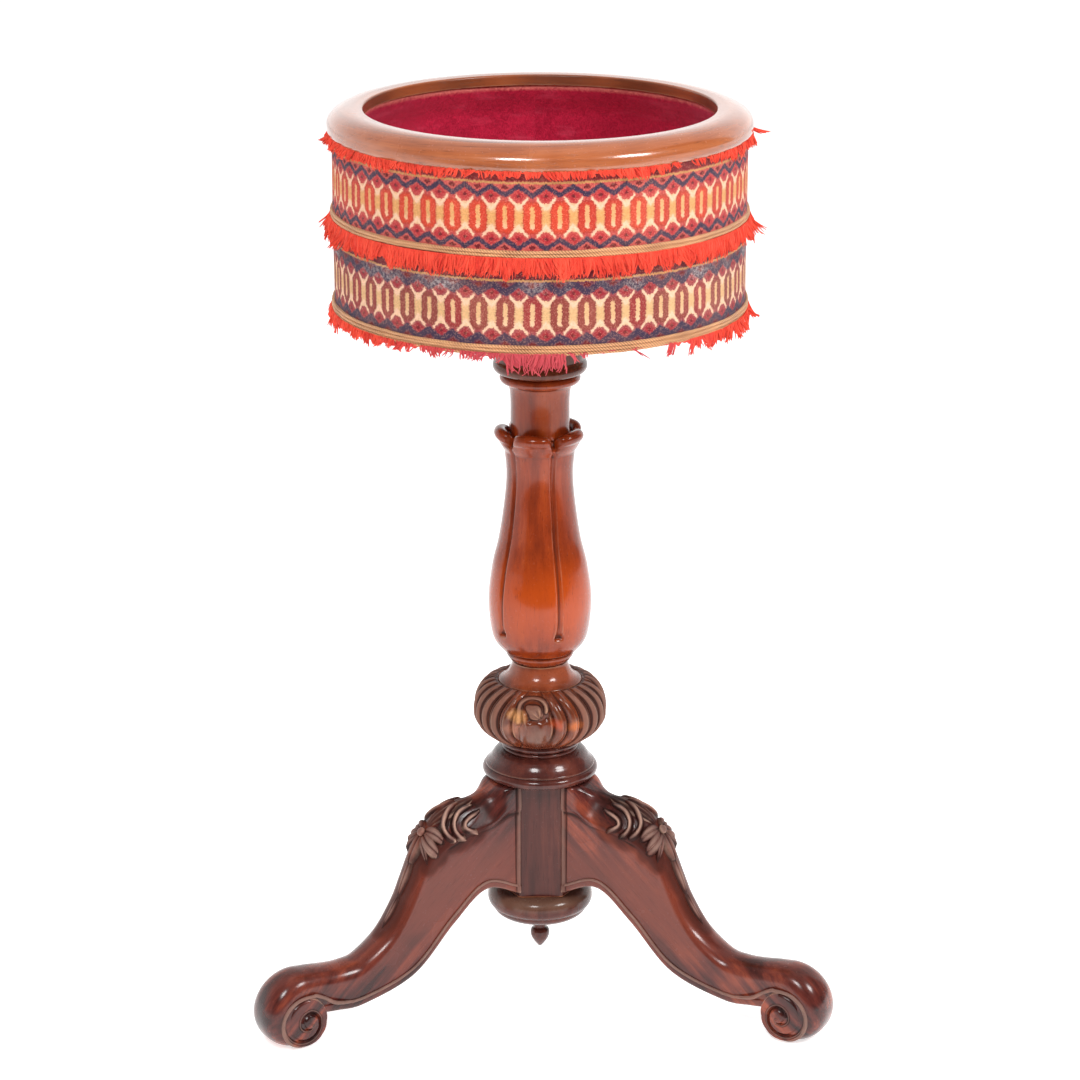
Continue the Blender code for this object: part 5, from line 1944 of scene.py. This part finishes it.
    def disc(self) -> bmesh.types.BMesh:
        """The drum of the foot's scroll, a groove coiling into its eye on both faces."""
        eye, half, pitch = np.array(self.eye), self.disc_half, 0.56
        spokes = np.array([-270, -225, -180, -135, -90, -45, 0, 45, 90])
        reach = np.array([24.2, 18.6, 15.0, 15.2, 17.9, 21.6, 24.8, 25.6, 24.2])
        face = np.append(np.linspace(0, 0.97, 34), [1.0, 1.0])
        inset = np.append(np.zeros(34), [1.2, 8.0])
        share, inset = np.append(face, face[::-1]), np.append(inset, inset[::-1])
        sunk: list[np.ndarray] = []

        def shape(s: np.ndarray, t: np.ndarray) -> np.ndarray:
            """Places on the scroll; keeps how each one is marked.

            Args:
                s: Shares round it.
                t: Shares from face to face.

            Returns:
                The places, one row each.
            """
            turn = -270 + 360 * s
            k = np.rint(t * (len(share) - 1)).astype(int)
            coil = 0.97 - pitch * (1 - s)
            groove = sum(np.exp(-(((share[k] - coil + turns) / 0.062) ** 2)) for turns in (0.0, pitch))
            groove = groove * ease((share[k] - 0.12) / 0.1)
            swell = 1.6 * np.exp(-((share[k] / 0.26) ** 2))
            out = (half - inset[k] - 2.4 * groove * (inset[k] < 1) + swell) * np.where(k < len(face), 1, -1)
            bank = sum(np.exp(-(((share[k] - coil + turns - 0.12) / 0.045) ** 2)) for turns in (0.0, pitch))
            # The groove gets a small share, painted in shade; its bank a high one, worn pale.
            sunk.append(np.where(bank > 0.35, 0.64 * bank, 0.12 * ease(groove)) * (inset[k] < 1))
            radius = np.interp(turn, spokes, reach) * share[k]
            up = np.maximum(eye[1] + radius * np.sin(np.radians(turn)), 0.15)
            return np.stack([eye[0] + radius * np.cos(np.radians(turn)), out, up], 1) * MM

        bm = marked(gridded(145, len(share), shape), 0.35, 0.0)
        cut = bm.verts.layers.float["carved"]
        for vert, deep in zip(bm.verts, sunk[0]):
            vert[cut] = float(deep)
        return tidied(bm)

    def bead(self) -> bmesh.types.BMesh:
        """The bead on both sides that runs along the leg's lower edge, over the foot and into its coil."""
        eye, half = np.array(self.eye), self.disc_half
        kept = [row for row in self.rows[2 : self.stations : 3] if row[0, 0] < 196]
        rises = [(row[-1] - row[0]) / np.linalg.norm(row[-1] - row[0]) for row in kept]
        edge = np.array([row[0] + rise * self.fascia for row, rise in zip(kept, rises)])[:, [0, 2]]
        wide = np.array([row[:12, 1].max() for row in kept])
        coil = np.array([(104, 25.2), (90, 24.4), (45, 25.7), (0, 24.9), (-45, 21.6), (-75, 18.3), (-95, 16.6)], float)
        fine = through(coil, 50)
        spiral = eye + fine[:, 1:] * np.stack([np.cos(np.radians(fine[:, 0])), np.sin(np.radians(fine[:, 0]))], 1)
        plane = through(np.vstack([edge, [(203.0, 31.8), (211.0, 34.8), (219.5, 40.6)], spiral]), 330)
        plane[:, 1] = np.maximum(plane[:, 1], 1.9)
        away = np.linalg.norm(plane - eye, axis=1)
        near = np.interp(away, [18.0, 27.5, 40.0], [half - 1.2, half - 0.7, wide[-1]])
        out = np.where(away > 39.5, np.interp(plane[:, 0], edge[:, 0], wide), near) - 0.15
        thick = np.interp(away, [18.0, 23.0, 27.0, 45.0, 80.0], [0.7, 1.4, 1.7, 1.25, 1.1]) * MM
        lines = [np.column_stack([plane[:, 0], side * out, plane[:, 1]]) * MM for side in (1, -1)]
        bm = bmesh.new()
        return joined(bm, corded("bead", lines, [thick] * 2, sides=2))

    def shade_and_end_wear(self, body: bmesh.types.BMesh, carving: bmesh.types.BMesh) -> np.ndarray:
        """Where the body is painted in shade round the carving, and worn where it meets the block.

        Args:
            body: The leg's body.
            carving: What stands on it.

        Returns:
            The "carved" share of each point of the body.
        """
        tree = kdtree.KDTree(len(carving.verts))
        for vert in carving.verts:
            tree.insert(vert.co, vert.index)
        tree.balance()
        away = np.array([tree.find(vert.co)[2] for vert in body.verts]) / MM
        along = np.array([vert.co.x for vert in body.verts]) / MM
        # Painted shade in a halo round the carving, and a worn strip at the block.
        return np.maximum(0.10 * ease((14.0 - away) / 9.0), 0.62 * ease((36.5 - along) / 2.0))

    def build(self, bench: Bench) -> None:
        """Makes the leg once and sets it on the block's three sides.

        Args:
            bench: Where pieces are made.
        """
        body = self.body()
        carving = joined(bmesh.new(), *self.carving())
        # The bead's share paints it aged and a little worn, and paler as painted light against its shading.
        parts = [marked(body, 0.3, self.shade_and_end_wear(body, carving)), self.disc(), marked(self.bead(), 0.35, 0.66)]
        leg = joined(bmesh.new(), *parts, carving)
        grain = leg.verts.layers.float_vector.new("grain")
        slant = math.radians(-42)
        for vert in leg.verts:
            u, y, z = vert.co
            vert[grain] = (u * math.cos(slant) + z * math.sin(slant), y, z * math.cos(slant) - u * math.sin(slant))
        for number, (node, angle) in enumerate(self.angles):
            copy = leg.copy()
            layer = copy.verts.layers.float_vector["grain"]
            for vert in copy.verts:
                vert[layer] = vert[layer] + Vector((0.7 * number, 0.13 * number, 0.31 * number))
            turn = Matrix.Rotation(math.radians(angle), 3, "Z")
            bmesh.ops.rotate(copy, cent=(0, 0, 0), matrix=turn, verts=copy.verts)
            bench.piece(node.replace("leg", "cabriole"), copy, MAHOGANY_LEG, [node], sharp=62, wear_steps=4)
        leg.free()


@dataclass(frozen=True)
class BlackCard(Finish):
    """Dull black cloth, for the cards that keep the polish from mirroring only white."""

    black: Rgb = (26, 22, 20)
    grey: Rgb = (50, 44, 40)

    def material(self) -> bpy.types.Material:
        """Makes the material."""
        nodes = Nodes(self.name)
        weave = nodes.noise(nodes.place(), 3.0, 3.0)
        return nodes.surface({
            "Base Color": nodes.mixed(self.black, self.grey, weave),
            "Roughness": 1.0,
            "Specular IOR Level": 0.0,
        })


@dataclass
class Studio:
    """Pale floor, soft lights and the camera at the photograph's angle."""

    distance: float = 2.660
    height: float = 1.2479
    pitch: float = 17.858
    yaw: float = 1.6
    lens: float = 113.24
    sensor: float = 36.0
    lamps: tuple[tuple[str, float, float, float, float, float], ...] = (
        ("softbox_left", -16.0, 38.0, 2.6, 0.70, 30.0),
        ("softbox_right", 51.0, 36.0, 2.6, 0.75, 36.0),
    )
    overhead: float = 30.0
    behind: float = 1.35
    before: float = 0.42

    def build(self, bench: Bench) -> None:
        """Sets up the stage.

        Args:
            bench: Keeps the materials.
        """
        scene = bpy.context.scene
        scene.view_settings.view_transform = "Standard"
        camera = bpy.data.cameras.new("camera")
        camera.lens, camera.sensor_width = self.lens, self.sensor
        eye = bpy.data.objects.new("camera", camera)
        yaw = math.radians(self.yaw)
        eye.location = (-self.distance * math.sin(yaw), -self.distance * math.cos(yaw), self.height)
        eye.rotation_euler = (math.radians(90 - self.pitch), 0, -yaw)
        scene.collection.objects.link(eye)
        scene.camera = eye
        self.light()
        level = Matrix.Identity(4)
        self.sheet("floor", PaleFloor("studio_floor", Slot.FELT), bench, 60.0, level, (0, 0, -0.0002))
        card = BlackCard("black_card", Slot.FELT)
        upright = Matrix.Rotation(math.radians(90), 4, "X")
        sideways = Matrix.Rotation(math.radians(90), 4, "Z") @ upright
        flags = [self.sheet("flag_floor", card, bench, 5.0, level, (0.8, -6.5, 0.002)),
                 self.sheet("flag_front", card, bench, 5.0, upright, (0.8, -4.5, 3.0)),
                 self.sheet("flag_right", card, bench, 4.0, sideways, (4.2, -1.5, 2.0))]
        for flag in flags:
            flag.visible_camera = flag.visible_diffuse = flag.visible_shadow = False

    @staticmethod
    def sheet(name: str, finish: Finish, bench: Bench, half: float, turn: Matrix, place: Point) -> bpy.types.Object:
        """A flat square of the stage.

        Args:
            name: Its name.
            finish: Its finish.
            bench: Keeps the materials.
            half: Half its side.
            turn: How it is turned from level.
            place: Its middle.

        Returns:
            The new object.
        """
        bm = bmesh.new()
        bmesh.ops.create_grid(bm, x_segments=4, y_segments=4, size=half, matrix=Matrix.Translation(place) @ turn)
        mesh = bpy.data.meshes.new(name)
        bm.to_mesh(mesh)
        bm.free()
        mesh.materials.append(bench.material(finish))
        made = bpy.data.objects.new(name, mesh)
        bpy.context.scene.collection.objects.link(made)
        return made

    def light(self) -> None:
        """Hangs the lamps and sets the room's own light, brighter behind the stand than before it."""
        aim = Vector((0, 0, 0.4))
        for name, azimuth, elevation, away, size, power in self.lamps:
            lamp = bpy.data.lights.new(name, "AREA")
            lamp.shape, lamp.size, lamp.energy = "DISK", size, power
            turn, lift = FRONT + math.radians(azimuth), math.radians(elevation)
            level = math.cos(lift)
            towards = Vector((level * math.cos(turn), level * math.sin(turn), math.sin(lift)))
            self.hang(name, lamp, aim + away * towards, aim)
        top = bpy.data.lights.new("overhead", "AREA")
        top.shape, top.size, top.size_y, top.energy = "RECTANGLE", 2.6, 2.2, self.overhead
        self.hang("overhead", top, Vector((0, 0.3, 2.7)), aim).visible_glossy = False
        nodes = Nodes("studio", bpy.data.worlds.new("studio"))
        coords = nodes.node("ShaderNodeTexCoord", {}, {}).outputs["Generated"]
        _, y, z = nodes.axes(coords)
        depth = y.rise(-0.35, 0.25) * (self.behind - self.before) + self.before
        glow = depth * (1.0 - z.rise(0.05, 0.75) * 0.62)
        sky = nodes.node("ShaderNodeBackground", {}, {"Color": linear((255, 255, 255)), "Strength": glow})
        nodes.node("ShaderNodeOutputWorld", {}, {0: sky.outputs[0]})
        bpy.context.scene.world = nodes.material

    @staticmethod
    def hang(name: str, lamp: bpy.types.Light, place: Vector, aim: Vector) -> bpy.types.Object:
        """Puts a lamp in place.

        Args:
            name: Its name.
            lamp: The light.
            place: Where it hangs.
            aim: The point it faces.

        Returns:
            The new object.
        """
        holder = bpy.data.objects.new(name, lamp)
        holder.location = place
        holder.rotation_mode = "QUATERNION"
        holder.rotation_quaternion = (aim - place).to_track_quat("-Z", "Y")
        bpy.context.scene.collection.objects.link(holder)
        return holder


def main() -> None:
    """Dresses the stand in order, from the stage to the feet."""
    logging.basicConfig(level=logging.INFO, format="%(relativeCreated)6d %(name)s: %(message)s")
    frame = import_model()
    bench = Bench(frame)
    Studio().build(bench)
    bench.refinish("drum_hoop", PINE_AROUND)
    bench.refinish("drum_floor", PINE_LEVEL)
    bench.refinish("bearer_disc", BEARER_WOOD)
    for number in range(1, 5):
        bench.refinish(f"bearer_screw_{number}", IRON)
    Rim().build(bench)
    Lining().build(bench)
    braid_middle = Braid("braid_mid", "braid_middle", (0.6710, 0.6680), (0.0013, 0.0013), seed=5).build(bench)
    braid_bottom = Braid("braid_low", "braid_bottom", (0.5974, 0.5947, 0.5920), (0.0012, 0.0013, 0.0012),
                         seed=6).build(bench)
    top = Fringe("wool_top", "fringe_top", WOOL_TOP, top=0.7335, length=0.0105, flare=0.0030, strands=1700, tufts=150,
                 ragged=0.35, lean=0.30, seed=11, around=TOP_FULLNESS).build(bench)
    middle = Fringe("wool_mid", "fringe_middle", WOOL_MIDDLE, top=0.6668, length=0.0180, flare=0.0032, strands=2400,
                    tufts=170, ragged=0.25, lean=0.22, seed=12).build(bench)
    bottom = Fringe("wool_low", "fringe_bottom", WOOL_BOTTOM, top=0.5926, length=0.0135, flare=0.0026, strands=1600,
                    tufts=150, ragged=0.5, lean=0.35, seed=13, around=LOW_FULLNESS).build(bench)
    Band("band_up", "band_upper", WEAVE_UPPER, 0.6685, 0.7422, seed=0.4).build(bench, [top, braid_middle])
    Band("band_low", "band_lower", WEAVE_LOWER, 0.5927, 0.6676, seed=2.1).build(bench, [middle, braid_bottom, bottom])
    Pillar().build(bench)
    Knop().build(bench)
    TurnedBase().build(bench)
    Block().build(bench)
    Leg().build(bench)


if __name__ == "__main__":
    main()
